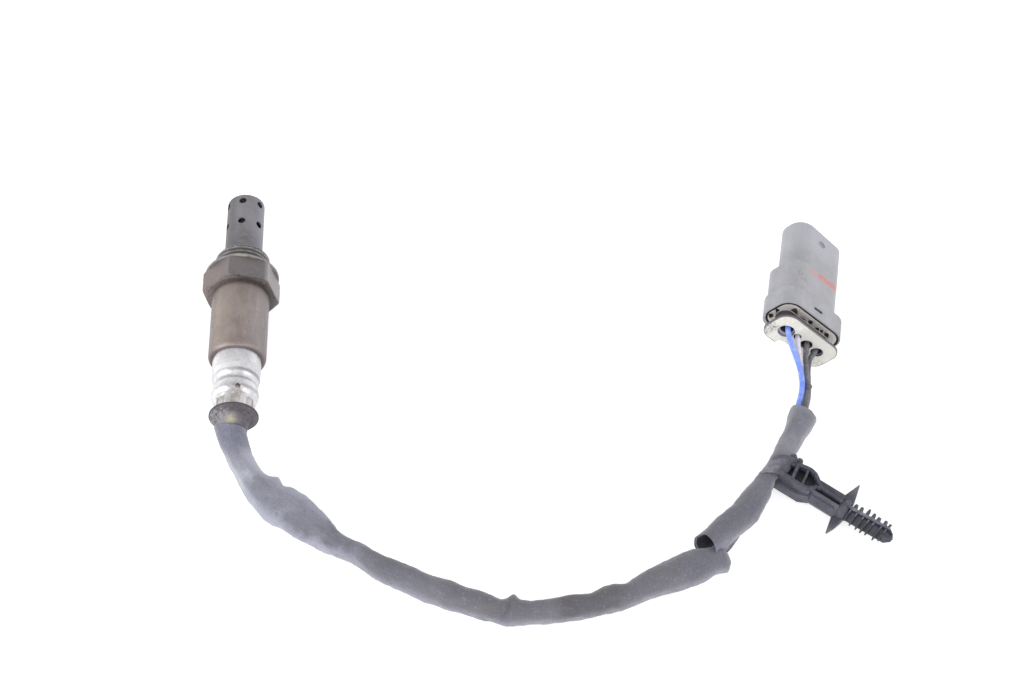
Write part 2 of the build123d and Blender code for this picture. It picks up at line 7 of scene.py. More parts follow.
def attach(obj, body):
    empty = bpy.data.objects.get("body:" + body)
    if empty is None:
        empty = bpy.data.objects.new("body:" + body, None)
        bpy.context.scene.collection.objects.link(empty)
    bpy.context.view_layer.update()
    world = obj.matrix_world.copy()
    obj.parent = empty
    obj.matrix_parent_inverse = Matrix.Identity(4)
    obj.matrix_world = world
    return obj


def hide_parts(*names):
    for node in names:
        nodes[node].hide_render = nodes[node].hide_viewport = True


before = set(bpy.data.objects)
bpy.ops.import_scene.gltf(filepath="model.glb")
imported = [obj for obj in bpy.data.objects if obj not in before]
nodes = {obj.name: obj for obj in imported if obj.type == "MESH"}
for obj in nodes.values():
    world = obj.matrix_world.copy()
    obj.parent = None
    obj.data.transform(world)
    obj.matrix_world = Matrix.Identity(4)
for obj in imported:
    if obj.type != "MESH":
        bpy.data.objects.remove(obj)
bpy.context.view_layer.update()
scene = bpy.context.scene
MM = 0.001
FLOOR = -12.376


def link(obj):
    scene.collection.objects.link(obj)
    return obj


# ---------------------------------------------------------------------------
# camera, floor, light
# ---------------------------------------------------------------------------
cam_at = Vector((76.373, -465.316, 562.783)) * MM
E, A = radians(52.2), radians(1.6)
look = Vector((sin(A) * cos(E), cos(A) * cos(E), -sin(E)))
side = Vector((cos(A), -sin(A), 0))
up = side.cross(look)
cam_data = bpy.data.cameras.new("camera")
cam_data.lens = 77.34
cam_data.sensor_width = 36.0
cam_data.sensor_fit = "HORIZONTAL"
cam_data.clip_start = 0.01
cam_data.clip_end = 20.0
cam = link(bpy.data.objects.new("camera", cam_data))
rot = Matrix((side, up, -look)).transposed()
cam.matrix_world = Matrix.Translation(cam_at) @ rot.to_4x4()
scene.camera = cam

scene.view_settings.view_transform = "Standard"
scene.view_settings.look = "None"
scene.view_settings.exposure = 0.0
scene.view_settings.gamma = 1.0


def lin(r, g, b, k=1.0):
    out = []
    for c in (r, g, b):
        c = c / 255.0
        c = c / 12.92 if c <= 0.04045 else ((c + 0.055) / 1.055) ** 2.4
        out.append(c * k)
    return (out[0], out[1], out[2], 1.0)


class Mat:
    """A node material worked out from object coordinates in millimetres."""

    def __init__(self, name, rough=0.5, metal=0.0, **sockets):
        self.m = bpy.data.materials.new(name)
        self.m.use_nodes = True
        self.nt = self.m.node_tree
        self.nt.nodes.clear()
        self.out = self.new("ShaderNodeOutputMaterial")
        self.b = self.new("ShaderNodeBsdfPrincipled")
        self.link(self.b.outputs[0], self.out.inputs[0])
        self.b.inputs["Roughness"].default_value = rough
        self.b.inputs["Metallic"].default_value = metal
        for k, v in sockets.items():
            self.b.inputs[k.replace("_", " ")].default_value = v
        tc = self.new("ShaderNodeTexCoord")
        mp = self.new("ShaderNodeMapping")
        mp.inputs["Scale"].default_value = (1000, 1000, 1000)
        self.link(tc.outputs["Object"], mp.inputs["Vector"])
        self.mm = mp.outputs[0]
        self.uvs = tc.outputs["UV"]
        self.m.diffuse_color = (0.5, 0.5, 0.5, 1)

    def new(self, kind):
        return self.nt.nodes.new(kind)

    def link(self, a, b):
        self.nt.links.new(a, b)

    def put(self, value, socket):
        if isinstance(value, (int, float)):
            socket.default_value = value
        elif isinstance(value, tuple):
            socket.default_value = value
        else:
            self.link(value, socket)

    def noise(self, scale, detail=3.0, rough=0.55, vec=None, dist=0.0):
        n = self.new("ShaderNodeTexNoise")
        n.inputs["Scale"].default_value = scale
        n.inputs["Detail"].default_value = detail
        n.inputs["Roughness"].default_value = rough
        n.inputs["Distortion"].default_value = dist
        self.link(vec if vec is not None else self.mm, n.inputs["Vector"])
        return n.outputs[0]

    def stretch(self, sx, sy, sz, rot=(0, 0, 0), shift=(0, 0, 0)):
        mp = self.new("ShaderNodeMapping")
        mp.inputs["Location"].default_value = shift
        mp.inputs["Rotation"].default_value = rot
        mp.inputs["Scale"].default_value = (sx, sy, sz)
        self.link(self.mm, mp.inputs["Vector"])
        return mp.outputs[0]

    def axes(self):
        s = self.new("ShaderNodeSeparateXYZ")
        self.link(self.mm, s.inputs[0])
        return s.outputs[0], s.outputs[1], s.outputs[2]

    def uv_axes(self):
        s = self.new("ShaderNodeSeparateXYZ")
        self.link(self.uvs, s.inputs[0])
        return s.outputs[0], s.outputs[1]

    def math(self, op, a, b=0.0, c=0.0, clamp=False):
        n = self.new("ShaderNodeMath")
        n.operation = op
        n.use_clamp = clamp
        self.put(a, n.inputs[0])
        self.put(b, n.inputs[1])
        if len(n.inputs) > 2:
            self.put(c, n.inputs[2])
        return n.outputs[0]

    def ramp(self, fac, lo, hi, a=0.0, b=1.0):
        n = self.new("ShaderNodeMapRange")
        n.interpolation_type = "SMOOTHSTEP"
        self.put(fac, n.inputs["Value"])
        n.inputs["From Min"].default_value = lo
        n.inputs["From Max"].default_value = hi
        n.inputs["To Min"].default_value = a
        n.inputs["To Max"].default_value = b
        return n.outputs[0]

    def mix(self, fac, a, b, mode="MIX"):
        n = self.new("ShaderNodeMix")
        n.data_type = "RGBA"
        n.blend_type = mode
        self.put(fac, n.inputs[0])
        self.put(a, n.inputs[6])
        self.put(b, n.inputs[7])
        return n.outputs[2]

    def spot(self, at, radius, soft):
        """1 inside a ball about a point in millimetres, falling to 0."""
        n = self.new("ShaderNodeVectorMath")
        n.operation = "DISTANCE"
        self.link(self.mm, n.inputs[0])
        n.inputs[1].default_value = at
        return self.ramp(n.outputs["Value"], radius, radius + soft, 1.0, 0.0)

    def radius(self):
        x, y, z = self.axes()
        return self.math("SQRT", self.math("ADD", self.math("MULTIPLY", x, x), self.math("MULTIPLY", z, z)))

    def band(self, value, lo, hi, soft):
        a = self.ramp(value, lo - soft, lo)
        b = self.ramp(value, hi, hi + soft, 1.0, 0.0)
        return self.math("MULTIPLY", a, b)

    def mul(self, a, b):
        return self.math("MULTIPLY", a, b)

    def along_axes(self, origin, *ways):
        """Distances in millimetres from a point along given directions."""
        sub = self.new("ShaderNodeVectorMath")
        sub.operation = "SUBTRACT"
        self.link(self.mm, sub.inputs[0])
        sub.inputs[1].default_value = origin
        out = []
        for w in ways:
            dot = self.new("ShaderNodeVectorMath")
            dot.operation = "DOT_PRODUCT"
            self.link(sub.outputs[0], dot.inputs[0])
            dot.inputs[1].default_value = w
            out.append(dot.outputs["Value"])
        return out

    def edge_gap(self, u, v, cu, cv, hw, hh, r):
        """Signed distance outside a rounded rectangle."""
        dx = self.math("MAXIMUM", self.math("SUBTRACT", self.math("ABSOLUTE", self.math("SUBTRACT", u, cu)), hw - r), 0.0)
        dy = self.math("MAXIMUM", self.math("SUBTRACT", self.math("ABSOLUTE", self.math("SUBTRACT", v, cv)), hh - r), 0.0)
        q = self.math("SQRT", self.math("ADD", self.math("MULTIPLY", dx, dx), self.math("MULTIPLY", dy, dy)))
        return self.math("SUBTRACT", q, r)

    def color(self, v):
        self.put(v, self.b.inputs["Base Color"])
        return self

    def rough(self, v):
        self.put(v, self.b.inputs["Roughness"])
        return self

    def bump(self, height, dist, strength=1.0):
        """dist in millimetres"""
        n = self.new("ShaderNodeBump")
        n.inputs["Strength"].default_value = strength
        n.inputs["Distance"].default_value = dist * MM
        self.link(height, n.inputs["Height"])
        if self.b.inputs["Normal"].links:
            self.link(self.b.inputs["Normal"].links[0].from_socket, n.inputs["Normal"])
            self.nt.links.remove(self.b.inputs["Normal"].links[0])
        self.link(n.outputs[0], self.b.inputs["Normal"])
        return self


# floor: a pale sheet that glows a little, as the bottom of a light tent does
fm = bpy.data.meshes.new("floor")
half = 6.0
fm.from_pydata([(-half, -half, FLOOR * MM), (half, -half, FLOOR * MM), (half, half, FLOOR * MM), (-half, half, FLOOR * MM)], [], [(0, 1, 2, 3)])
floor_obj = link(bpy.data.objects.new("floor", fm))
floor_mat = Mat("studio_floor", rough=0.9)
floor_mat.b.inputs["Specular IOR Level"].default_value = 0.0
fl = floor_mat.noise(0.01, 2)
floor_mat.color(floor_mat.mix(fl, (0.60, 0.60, 0.605, 1), (0.62, 0.62, 0.625, 1)))
floor_mat.b.inputs["Emission Color"].default_value = (1.0, 1.0, 1.0, 1.0)
floor_mat.b.inputs["Emission Strength"].default_value = 0.66
fm.materials.append(floor_mat.m)

world = bpy.data.worlds.new("tent")
scene.world = world
world.use_nodes = True
wn = world.node_tree
wn.nodes.clear()
wo = wn.nodes.new("ShaderNodeOutputWorld")
bg = wn.nodes.new("ShaderNodeBackground")
tc = wn.nodes.new("ShaderNodeTexCoord")
sp = wn.nodes.new("ShaderNodeSeparateXYZ")
mr = wn.nodes.new("ShaderNodeMapRange")
mr.interpolation_type = "SMOOTHSTEP"
mr.inputs["From Min"].default_value = -0.05
mr.inputs["From Max"].default_value = 1.0
mr.inputs["To Min"].default_value = 1.0
mr.inputs["To Max"].default_value = 0.60
wn.links.new(tc.outputs["Generated"], sp.inputs[0])
wn.links.new(sp.outputs[2], mr.inputs["Value"])
wn.links.new(mr.outputs[0], bg.inputs["Strength"])
bg.inputs["Color"].default_value = (0.985, 0.99, 1.0, 1)
wn.links.new(bg.outputs[0], wo.inputs[0])


def area(name, at, to, size, power, color=(1, 1, 1)):
    d = bpy.data.lights.new(name, "AREA")
    d.shape = "RECTANGLE"
    d.size, d.size_y = size[0] * MM, size[1] * MM
    d.energy = power
    d.color = color
    o = link(bpy.data.objects.new(name, d))
    at, to = Vector(at) * MM, Vector(to) * MM
    o.matrix_world = Matrix.Translation(at) @ (to - at).to_track_quat("-Z", "Y").to_matrix().to_4x4()
    return o


area("panel_left", (-420, -260, 330), (60, -60, 0), (500, 500), 1.7)
area("panel_right", (560, -200, 330), (90, -60, 0), (500, 500), 0.9)
area("panel_front", (80, -620, 180), (80, -80, 0), (500, 260), 0.8)

# ---------------------------------------------------------------------------
# cords: control points of the splines, in millimetres
# ---------------------------------------------------------------------------
LZ = -8.03
sleeve_points = [
    (0, -63.0, 0), (0.0, -67.6, -0.5), (2.4, -75.6, -2.8), (8.6, -82.2, -5.4), (19.4, -89.0, -7.3),
    (30.6, -98.2, LZ), (46.2, -108.6, LZ), (62.3, -118.2, LZ), (81.8, -125.9, LZ), (99.7, -126.1, LZ),
    (118.7, -121.8, LZ), (136.4, -114.6, LZ), (151.7, -105.1, LZ), (160.1, -89.3, LZ), (171.0, -76.1, LZ),
    (176.7, -63.4, LZ), (181.1, -54.5, LZ),
]


def beside(points, across, rise):
    """The same control points moved sideways and up, each corner mitred."""
    out = []
    n = len(points)
    for i, (x, y, z) in enumerate(points):
        norms = []
        for j in (i - 1, i):
            if 0 <= j < n - 1:
                dx = points[j + 1][0] - points[j][0]
                dy = points[j + 1][1] - points[j][1]
                k = hypot(dx, dy)
                norms.append((-dy / k, dx / k))
        if len(norms) == 1:
            mx, my = norms[0]
        else:
            d = 1 + norms[0][0] * norms[1][0] + norms[0][1] * norms[1][1]
            mx = (norms[0][0] + norms[1][0]) / d
            my = (norms[0][1] + norms[1][1]) / d
        out.append((x + across * mx, y + across * my, z + rise))
    return out


plug_at = Vector((182.82, -27.24, 0.66))
yaw, roll, dip = radians(10.5), radians(-41.2), radians(2.2)
fwd = Vector((sin(yaw) * cos(dip), cos(yaw) * cos(dip), -sin(dip)))
level = Vector((cos(yaw), -sin(yaw), 0))
rise_way = Vector((sin(yaw) * sin(dip), cos(yaw) * sin(dip), cos(dip)))
wide = level * cos(roll) + rise_way * sin(roll)
narrow = level * -sin(roll) + rise_way * cos(roll)


def plug(u, v, s):
    """u along the wide way, v across, s in front of the shell's rim."""
    return plug_at + wide * u + narrow * v + fwd * s


lead_tails = {
    "blue": (1.05, 1.05, -6.9, [(179.4, -53.4, -6.9), (181.7, -46.5, -5.5), (181.1, -41.4, -2.4), (179.1, -37.3, 1.5), (177.7, -33.9, 4.0), plug(-7.6, 1.1, -5.2)]),
    "white": (1.05, -1.05, -2.3, [(180.4, -53.2, -9.1), (182.0, -46.2, -8.4), (181.6, -41.4, -5.8), (181.2, -37.6, -1.6), (180.6, -34.5, 1.1), plug(-2.5, 0.9, -5.0)]),
    "black_a": (-1.05, 1.05, 2.3, [(182.0, -52.7, -6.8), (183.4, -46.2, -6.6), (183.3, -41.2, -4.5), (183.2, -37.4, -2.6), (183.5, -34.8, -1.2), plug(2.3, 0.7, -5.0)]),
    "black_b": (-1.05, -1.05, 6.9, [(182.5, -52.2, -9.0), (183.9, -46.6, -8.7), (184.0, -41.7, -6.9), (184.1, -38.3, -5.1), (184.9, -36.2, -3.6), plug(6.8, 0.8, -5.0)]),
}


def centre_line(name, points, res=14):
    """The points of a smooth NURBS curve through the route's control points."""
    cu = bpy.data.curves.new(name, "CURVE")
    cu.dimensions = "3D"
    cu.resolution_u = res
    sp = cu.splines.new("NURBS")
    sp.points.add(len(points) - 1)
    for p, q in zip(sp.points, points):
        p.co = (q[0] * MM, q[1] * MM, q[2] * MM, 1)
    sp.order_u = 3
    sp.use_endpoint_u = True
    ob = link(bpy.data.objects.new(name, cu))
    bpy.context.view_layer.update()
    me = bpy.data.meshes.new_from_object(ob)
    line = [v.co.copy() for v in me.vertices]
    bpy.data.objects.remove(ob)
    bpy.data.curves.remove(cu)
    bpy.data.meshes.remove(me)
    return line


class Line:
    """Walks a line by its length, in millimetres."""

    def __init__(self, pts):
        self.p = [p / MM for p in pts]
        self.s = [0.0]
        for a, b in zip(self.p, self.p[1:]):
            self.s.append(self.s[-1] + (b - a).length)
        self.length = self.s[-1]

    def at(self, s):
        s = min(max(s, 0.0), self.length)
        lo, hi = 0, len(self.s) - 1
        while hi - lo > 1:
            m = (lo + hi) // 2
            if self.s[m] <= s:
                lo = m
            else:
                hi = m
        t = (s - self.s[lo]) / max(self.s[hi] - self.s[lo], 1e-9)
        return self.p[lo].lerp(self.p[hi], t)

    def way(self, s):
        a, b = max(s - 0.8, 0.0), min(s + 0.8, self.length)
        return (self.at(b) - self.at(a)).normalized()


def table(rows, s):
    """Smooth look-up in rows of (s, value, ...)."""
    if s <= rows[0][0]:
        return rows[0][1:]
    if s >= rows[-1][0]:
        return rows[-1][1:]
    for i in range(len(rows) - 1):
        if rows[i][0] <= s <= rows[i + 1][0]:
            break
    p1, p2 = rows[i], rows[i + 1]
    p0 = rows[i - 1] if i > 0 else p1
    p3 = rows[i + 2] if i + 2 < len(rows) else p2
    h = p2[0] - p1[0]
    t = (s - p1[0]) / h
    out = []
    for k in range(1, len(p1)):
        m1 = (p2[k] - p0[k]) / max(p2[0] - p0[0], 1e-6) * h
        m2 = (p3[k] - p1[k]) / max(p3[0] - p1[0], 1e-6) * h
        t2, t3 = t * t, t * t * t
        out.append((2 * t3 - 3 * t2 + 1) * p1[k] + (t3 - 2 * t2 + t) * m1 + (-2 * t3 + 3 * t2) * p2[k] + (t3 - t2) * m2)
    return out


def smooth(x, lo, hi):
    t = min(max((x - lo) / (hi - lo), 0.0), 1.0)
    return t * t * (3 - 2 * t)


def bell(x, mid, width):
    return exp(-((x - mid) / width) ** 2)


def mesh_object(name, verts, faces, uvs=None, smooth_angle=35.0):
    """verts in millimetres; uvs one per vertex"""
    me = bpy.data.meshes.new(name)
    me.from_pydata([(v[0] * MM, v[1] * MM, v[2] * MM) for v in verts], [], faces)
    if uvs is not None:
        layer = me.uv_layers.new(name="UVMap")
        for poly in me.polygons:
            vs = [uvs[me.loops[li].vertex_index] for li in poly.loop_indices]
            big = max(q[1] for q in vs)
            for li, q in zip(poly.loop_indices, vs):
                v = q[1]
                if big - v > 0.5:
                    v += 1.0
                layer.data[li].uv = (q[0], v)
    me.polygons.foreach_set("use_smooth", [True] * len(me.polygons))
    me.update()
    me.set_sharp_from_angle(angle=radians(smooth_angle))
    return link(bpy.data.objects.new(name, me))


def grid(rows, n, wrap_rows=False):
    faces = []
    m = len(rows)
    for i in range(m if wrap_rows else m - 1):
        a, b = i * n, ((i + 1) % m) * n
        for k in range(n):
            k2 = (k + 1) % n
            faces.append((a + k, a + k2, b + k2, b + k))
    return faces


# ---------------------------------------------------------------------------
# woven sleeve
# ---------------------------------------------------------------------------
sleeve_line = centre_line("sleeve_line", sleeve_points, 16)
SL = Line(sleeve_line)
# distance along, half width on the inside of the curve, half width on the outside
WIDTH = [
    (0, 4.8, 5.9), (4, 5.2, 4.4), (8, 5.3, 3.1), (12, 5.4, 2.75), (16, 5.3, 3.1), (20, 5.3, 4.15),
    (24, 6.8, 5.3), (28, 6.0, 6.75), (32, 7.1, 6.8), (36, 6.65, 6.35), (40, 6.05, 6.05), (44, 5.2, 5.6),
    (48, 4.0, 5.15), (52, 2.5, 4.7), (56, 2.5, 3.8), (60, 2.95, 3.1), (64, 2.9, 3.4), (68, 3.0, 4.3),
    (72, 3.35, 4.65), (76, 3.7, 4.5), (80, 3.9, 4.3), (84, 4.0, 4.15), (88, 4.5, 4.0), (92, 4.9, 3.9),
    (96, 4.35, 3.8), (100, 4.55, 3.65), (104, 4.1, 3.8), (108, 3.1, 4.4), (110, 3.7, 4.55), (112, 5.4, 4.35),
    (114, 3.8, 4.15), (116, 3.1, 3.9), (120, 3.05, 3.8), (124, 3.5, 4.0), (128, 3.6, 4.0), (132, 3.5, 4.0),
    (136, 3.1, 3.8), (140, 4.05, 3.95), (144, 4.1, 4.35), (148, 3.1, 4.0), (152, 4.1, 3.7), (156, 5.1, 3.85),
    (160, 5.5, 4.4), (164, 5.5, 5.05), (168, 5.2, 5.7), (172, 4.6, 5.75), (180, 4.4, 5.15), (190, 5.0, 4.2),
    (192, 5.0, 4.4), (196, 4.5, 4.6), (200, 4.15, 4.45), (204, 3.7, 4.1), (206.5, 3.1, 3.75), (208.5, 2.7, 2.9),
    (211, 2.5, 2.45), (214, 2.5, 2.55), (217, 2.55, 2.75), (220, 2.45, 2.95), (224, 2.6, 3.1), (228, 2.8, 3.7),
    (232, 3.1, 4.3), (236, 3.7, 4.9), (240.5, 4.4, 5.2),
]
# distance along, height above the line, depth below it
HEIGHT = [
    (0, 5.1, 5.1), (6, 4.9, 4.6), (14, 4.5, 4.2), (24, 4.1, 4.2), (34, 3.7, 4.33), (44, 3.8, 4.33), (56, 4.2, 4.33),
    (70, 4.35, 4.33), (90, 4.3, 4.33), (106, 4.2, 4.33), (112, 4.7, 4.33), (118, 4.2, 4.33), (140, 4.2, 4.33),
    (160, 4.0, 4.33), (176, 3.9, 4.33), (190, 4.4, 4.33), (200, 4.3, 4.33), (206, 3.9, 4.1), (209, 3.1, 3.6), (212, 2.9, 3.3),
    (217, 3.0, 3.2), (222, 3.1, 3.3), (226, 3.45, 3.8), (234, 4.3, 4.33), (240.5, 4.9, 4.33),
]
NR = 72


def soft_floor(z, keep=0.03):
    lo = FLOOR + keep
    d = z - lo
    if d > 0.8:
        return z
    if d < -0.8:
        return lo
    return lo + (d + 0.8) ** 2 / 3.2


def wrinkle(p, amount):
    a = noise.noise(Vector((p.x * 0.16, p.y * 0.16, p.z * 0.30 + 3.7)))
    b = noise.noise(Vector((p.x * 0.42 + 9.0, p.y * 0.42, p.z * 0.55)))
    c = noise.noise(Vector((p.x * 1.1, p.y * 1.1 + 4.0, p.z * 1.1)))
    return amount * (0.42 * a + 0.22 * b + 0.09 * c)


def ring(P, T, inner, outer, top, low, extra=None, tilt=0.0, n=NR):
    N = Vector((0, 0, 1)).cross(T).normalized()
    U = T.cross(N).normalized()
    if U.z < 0:
        U = -U
    if tilt:
        c, s = cos(tilt), sin(tilt)
        N, U = N * c + U * s, U * c - N * s
    out = []
    for k in range(n):
        f = 2 * pi * k / n
        c, s = cos(f), sin(f)
        w = inner if c >= 0 else outer
        h = top if s >= 0 else low
        q = P + N * (w * c) + U * (h * s)
        if extra:
            d = extra(f, q)
            q = q + (N * c + U * s) * d
        out.append(q)
    return out


def sleeve_extra(s):
    def f(a, q):
        d = wrinkle(q, 1.0) * smooth(s, 1.0, 8.0)
        deg = degrees(a) % 360
        # soft ridge and valley along the flattened stretch
        k = smooth(s, 18, 28) * (1 - smooth(s, 52, 64))
        d += k * (0.45 * bell(deg, 150, 26) - 0.55 * bell(deg, 95 - (s - 34) * 0.6, 24))
        # pinched crease at the kink
        k = bell(s, 106.5 + 5.0 * smooth(deg, 215, 95), 0.85)
        d -= 1.0 * k * smooth(deg, 232, 190) * smooth(deg, 60, 95) if 60 < deg < 235 else 0.0
        d += 0.35 * bell(s, 112.2, 2.2) * bell(deg, 70, 40)
        # folds in the elbow behind the sensor
        d -= 0.5 * bell(s, 27.3, 1.3) * bell(deg, 35, 34)
        d += 0.4 * bell(s, 24.6, 1.6) * bell(deg, 30, 30)
        d -= 0.35 * bell(s, 16.5, 1.6) * bell(deg, 110, 30)
        d -= 0.35 * bell(s, 60.5, 1.4) * bell(deg, 110, 60)
        d -= 0.3 * bell(s, 147.5, 1.8) * bell(deg, 70, 50)
        return d
    return f


def widths(s):
    i, o = table(WIDTH, s)
    t, l = table(HEIGHT, s)
    # the widths were read for a tube 4.35 high: keep the outline where it is lower
    i2 = (i * 0.79) ** 2 + (4.35 * 0.613) ** 2 - (t * 0.613) ** 2
    i = sqrt(max(i2, 1.0)) / 0.79
    return min(i, 7.2), min(o, 7.2), t, l


verts, faces, uvs = [], [], []
step = 0.55
# first length: out of the boot and along to its folded end
end_a = Vector((152.7, -108.6, -8.2))
turn_a = 171.0
Pt, Tt = SL.at(turn_a), SL.way(turn_a)
rows = []
s = 0.0
while s < turn_a:
    i, o, t, l = widths(s)
    r = ring(SL.at(s), SL.way(s), i, o, t, l, sleeve_extra(s))
    if s < 5.0:
        for q_i, q in enumerate(r):
            r[q_i] = q - SL.way(s) * (1.5 * (1 - smooth(s, 0.0, 5.0)) * max(-cos(2 * pi * q_i / NR), 0.0))
    rows.append((s, r))
    s += step
run = (end_a - Pt).length
m = int(run / step) + 4
for k in range(1, m + 1):
    f = k / m
    # bends a little less than the line does, then closes in a blunt edge
    g = 1 - (1 - f) ** 1.0
    P = Pt + Tt * (run * g) * (1 - g) + (end_a - Pt) * g * g + (end_a - Pt) * 0.0
    P = Pt.lerp(end_a, g) + (Tt * run - (end_a - Pt)) * g * (1 - g) * 0.5
    T = (end_a - Pt).normalized().lerp(Tt, 0.5 * (1 - g)).normalized()
    close = sqrt(max(1 - smooth(f, 0.72, 1.0) ** 2 * 0.985, 0.0))
    w = 4.7 * (0.25 + 0.75 * close) if f > 0.72 else 4.7
    i, o, t, l = widths(turn_a)
    ww_i = (i + (4.3 - i) * smooth(f, 0, 0.6)) * (0.30 + 0.70 * close)
    ww_o = (o + (4.6 - o) * smooth(f, 0, 0.6)) * (0.30 + 0.70 * close)
    hh = (t + (3.4 - t) * smooth(f, 0, 0.7)) * (0.02 + 0.98 * close)
    hl = l * (0.02 + 0.98 * close)
    rows.append((turn_a + run * f, ring(P, T, ww_i, ww_o, hh, hl, sleeve_extra(turn_a + run * f) if close > 0.6 else None)))
base = 0
for s_, r in rows:
    for k, q in enumerate(r):
        q.z = soft_floor(q.z) if s_ > 6 else q.z
        verts.append(q)
        uvs.append((s_ / 10.0, k / NR))
faces += grid(rows, NR)
last = len(verts) - NR
verts.append(sum((Vector(q) for q in rows[-1][1]), Vector()) / NR)
uvs.append((rows[-1][0] / 10.0, 0.5))
for k in range(NR):
    faces.append((last + k, last + (k + 1) % NR, len(verts) - 1))
# inside of the mouth over the boot's boss
b0 = len(verts)
inner_rows = []
for j in range(7):
    s_ = j * 0.9
    i, o, t, l = widths(s_)
    d = 0.0 if j == 0 else 0.55
    inner_rows.append(ring(SL.at(s_), SL.way(s_), i - d, o - d, t - d, l - d))
for r in inner_rows[1:]:
    for k, q in enumerate(r):
        verts.append(q)
        uvs.append((-0.3, k / NR))
for i in range(len(inner_rows) - 1):
    a = 0 if i == 0 else b0 + (i - 1) * NR
    b = b0 + i * NR
    for k in range(NR):
        k2 = (k + 1) % NR
        faces.append((a + k, b + k, b + k2, a + k2))
verts.append(sum((Vector(q) for q in inner_rows[-1]), Vector()) / NR)
uvs.append((-6.0, 0.5))
b = b0 + (len(inner_rows) - 2) * NR
for k in range(NR):
    faces.append((b + k, len(verts) - 1, b + (k + 1) % NR))

# second length: starts in an open lip laid over the first one, runs through the clip to the far mouth
lip_at = Vector((145.5, -105.9, -6.3))
low_arm = Vector((0.1, -0.1, 0.0))
join_s = 196.0
Pj, Tj = SL.at(join_s) + low_arm, SL.way(join_s)
rows = []
run = (Pj - lip_at).length
d0 = (Pj - lip_at).normalized()
m = int(run / step)
for k in range(m):
    f = k / m
    P = lip_at.lerp(Pj, f)
    P = P + Vector((0, 0, 0.3 * sin(pi * f)))
    T = d0.lerp(Tj, smooth(f, 0.3, 1.0)).normalized()
    i, o, t, l = widths(join_s)
    wi = 4.3 + (i - 4.3) * smooth(f, 0.2, 0.9)
    wo = 3.9 + (o - 3.9) * smooth(f, 0.2, 0.9) + 0.5 * bell(f, 0.30, 0.2)
    th = 3.9 + (t - 3.9) * f
    lw = 3.6 + (l - 3.6) * f
    flare = 0.35 * (1 - smooth(f, 0.0, 0.12))
    tilt = -radians(22) * (1 - smooth(f, 0.1, 0.85))
    s_ = join_s - run + run * f
    r = ring(P, T, wi + flare, wo + flare, th + flare, lw, sleeve_extra(s_), tilt)
    # the lip leans: its top edge sits further back than its sides
    if f < 0.35:
        kk = 1 - smooth(f, 0, 0.35)
        for q_i, q in enumerate(r):
            a = 2 * pi * q_i / NR
            r[q_i] = q + T * (kk * 1.1 * (max(sin(a), -0.3)))
    rows.append((s_, r))
s = join_s
while s < SL.length - 0.2:
    i, o, t, l = widths(s)
    rows.append((s, ring(SL.at(s) + low_arm * (1 - smooth(s, 197, 213)), SL.way(s), i, o, t, l, sleeve_extra(s))))
    s += step
# far mouth, cut at a slant
for j, (s_, r) in enumerate(rows):
    k2 = smooth(s_, SL.length - 7, SL.length)
    if k2 > 0:
        T = SL.way(SL.length)
        for q_i, q in enumerate(r):
            a = 2 * pi * q_i / NR
            r[q_i] = q + T * (k2 * (-0.75 + 0.35 * cos(a)))
b1 = len(verts)
for s_, r in rows:
    for k, q in enumerate(r):
        q.z = soft_floor(q.z)
        verts.append(q)
        uvs.append((s_ / 10.0, k / NR))
faces += [tuple(b1 + x for x in f) for f in grid(rows, NR)]


def wall(outer_start, ring_list, thick, flip, cap=False):
    """Rolled edge and inner skin of an open end; ring_list runs inwards."""
    start = len(verts)
    rr = []
    for j, (s_, r) in enumerate(ring_list):
        mid = sum((Vector(q) for q in r), Vector()) / NR
        tk = thick * (1 - (1 - min(j / 2.0, 1.0)) ** 2) if j < 2 else thick
        if j > 0:
            rr.append([q + (mid - q).normalized() * tk for q in r])
    for j, r in enumerate(rr):
        for k, q in enumerate(r):
            verts.append(Vector((q.x, q.y, max(q.z, FLOOR + 0.05))))
            # negative u marks the inside, deeper in as it grows
            uvs.append((-2.2 - j * 0.2, k / NR))
    for i in range(len(rr)):
        a = outer_start if i == 0 else start + (i - 1) * NR
        b = start + i * NR
        for k in range(NR):
            k2 = (k + 1) % NR
            f = (a + k, b + k, b + k2, a + k2)
            faces.append(f if flip else f[::-1])
    if cap:
        verts.append(sum((Vector(q) for q in rr[-1]), Vector()) / NR)
        uvs.append((-6.0, 0.5))
        b = start + (len(rr) - 1) * NR
        for k in range(NR):
            f = (b + k, len(verts) - 1, b + (k + 1) % NR)
            faces.append(f if flip else f[::-1])


wall(b1, rows[0:12], 0.75, True, True)
wall(b1 + (len(rows) - 1) * NR, rows[::-1][0:16], 0.75, False, True)
# ---------------------------------------------------------------------------
# harness clip, in its own axes: x along the stem, y left of it, z above the sleeve's line
# ---------------------------------------------------------------------------
clip_at = Vector((168.74, -75.31, LZ))
cx = Vector((cos(radians(-40)), sin(radians(-40)), 0))
cy = Vector((-sin(radians(-40)), cos(radians(-40)), 0))
clip_v, clip_f = [], []


def clip_world(p):
    return clip_at + cx * p[0] + cy * p[1] + Vector((0, 0, p[2]))


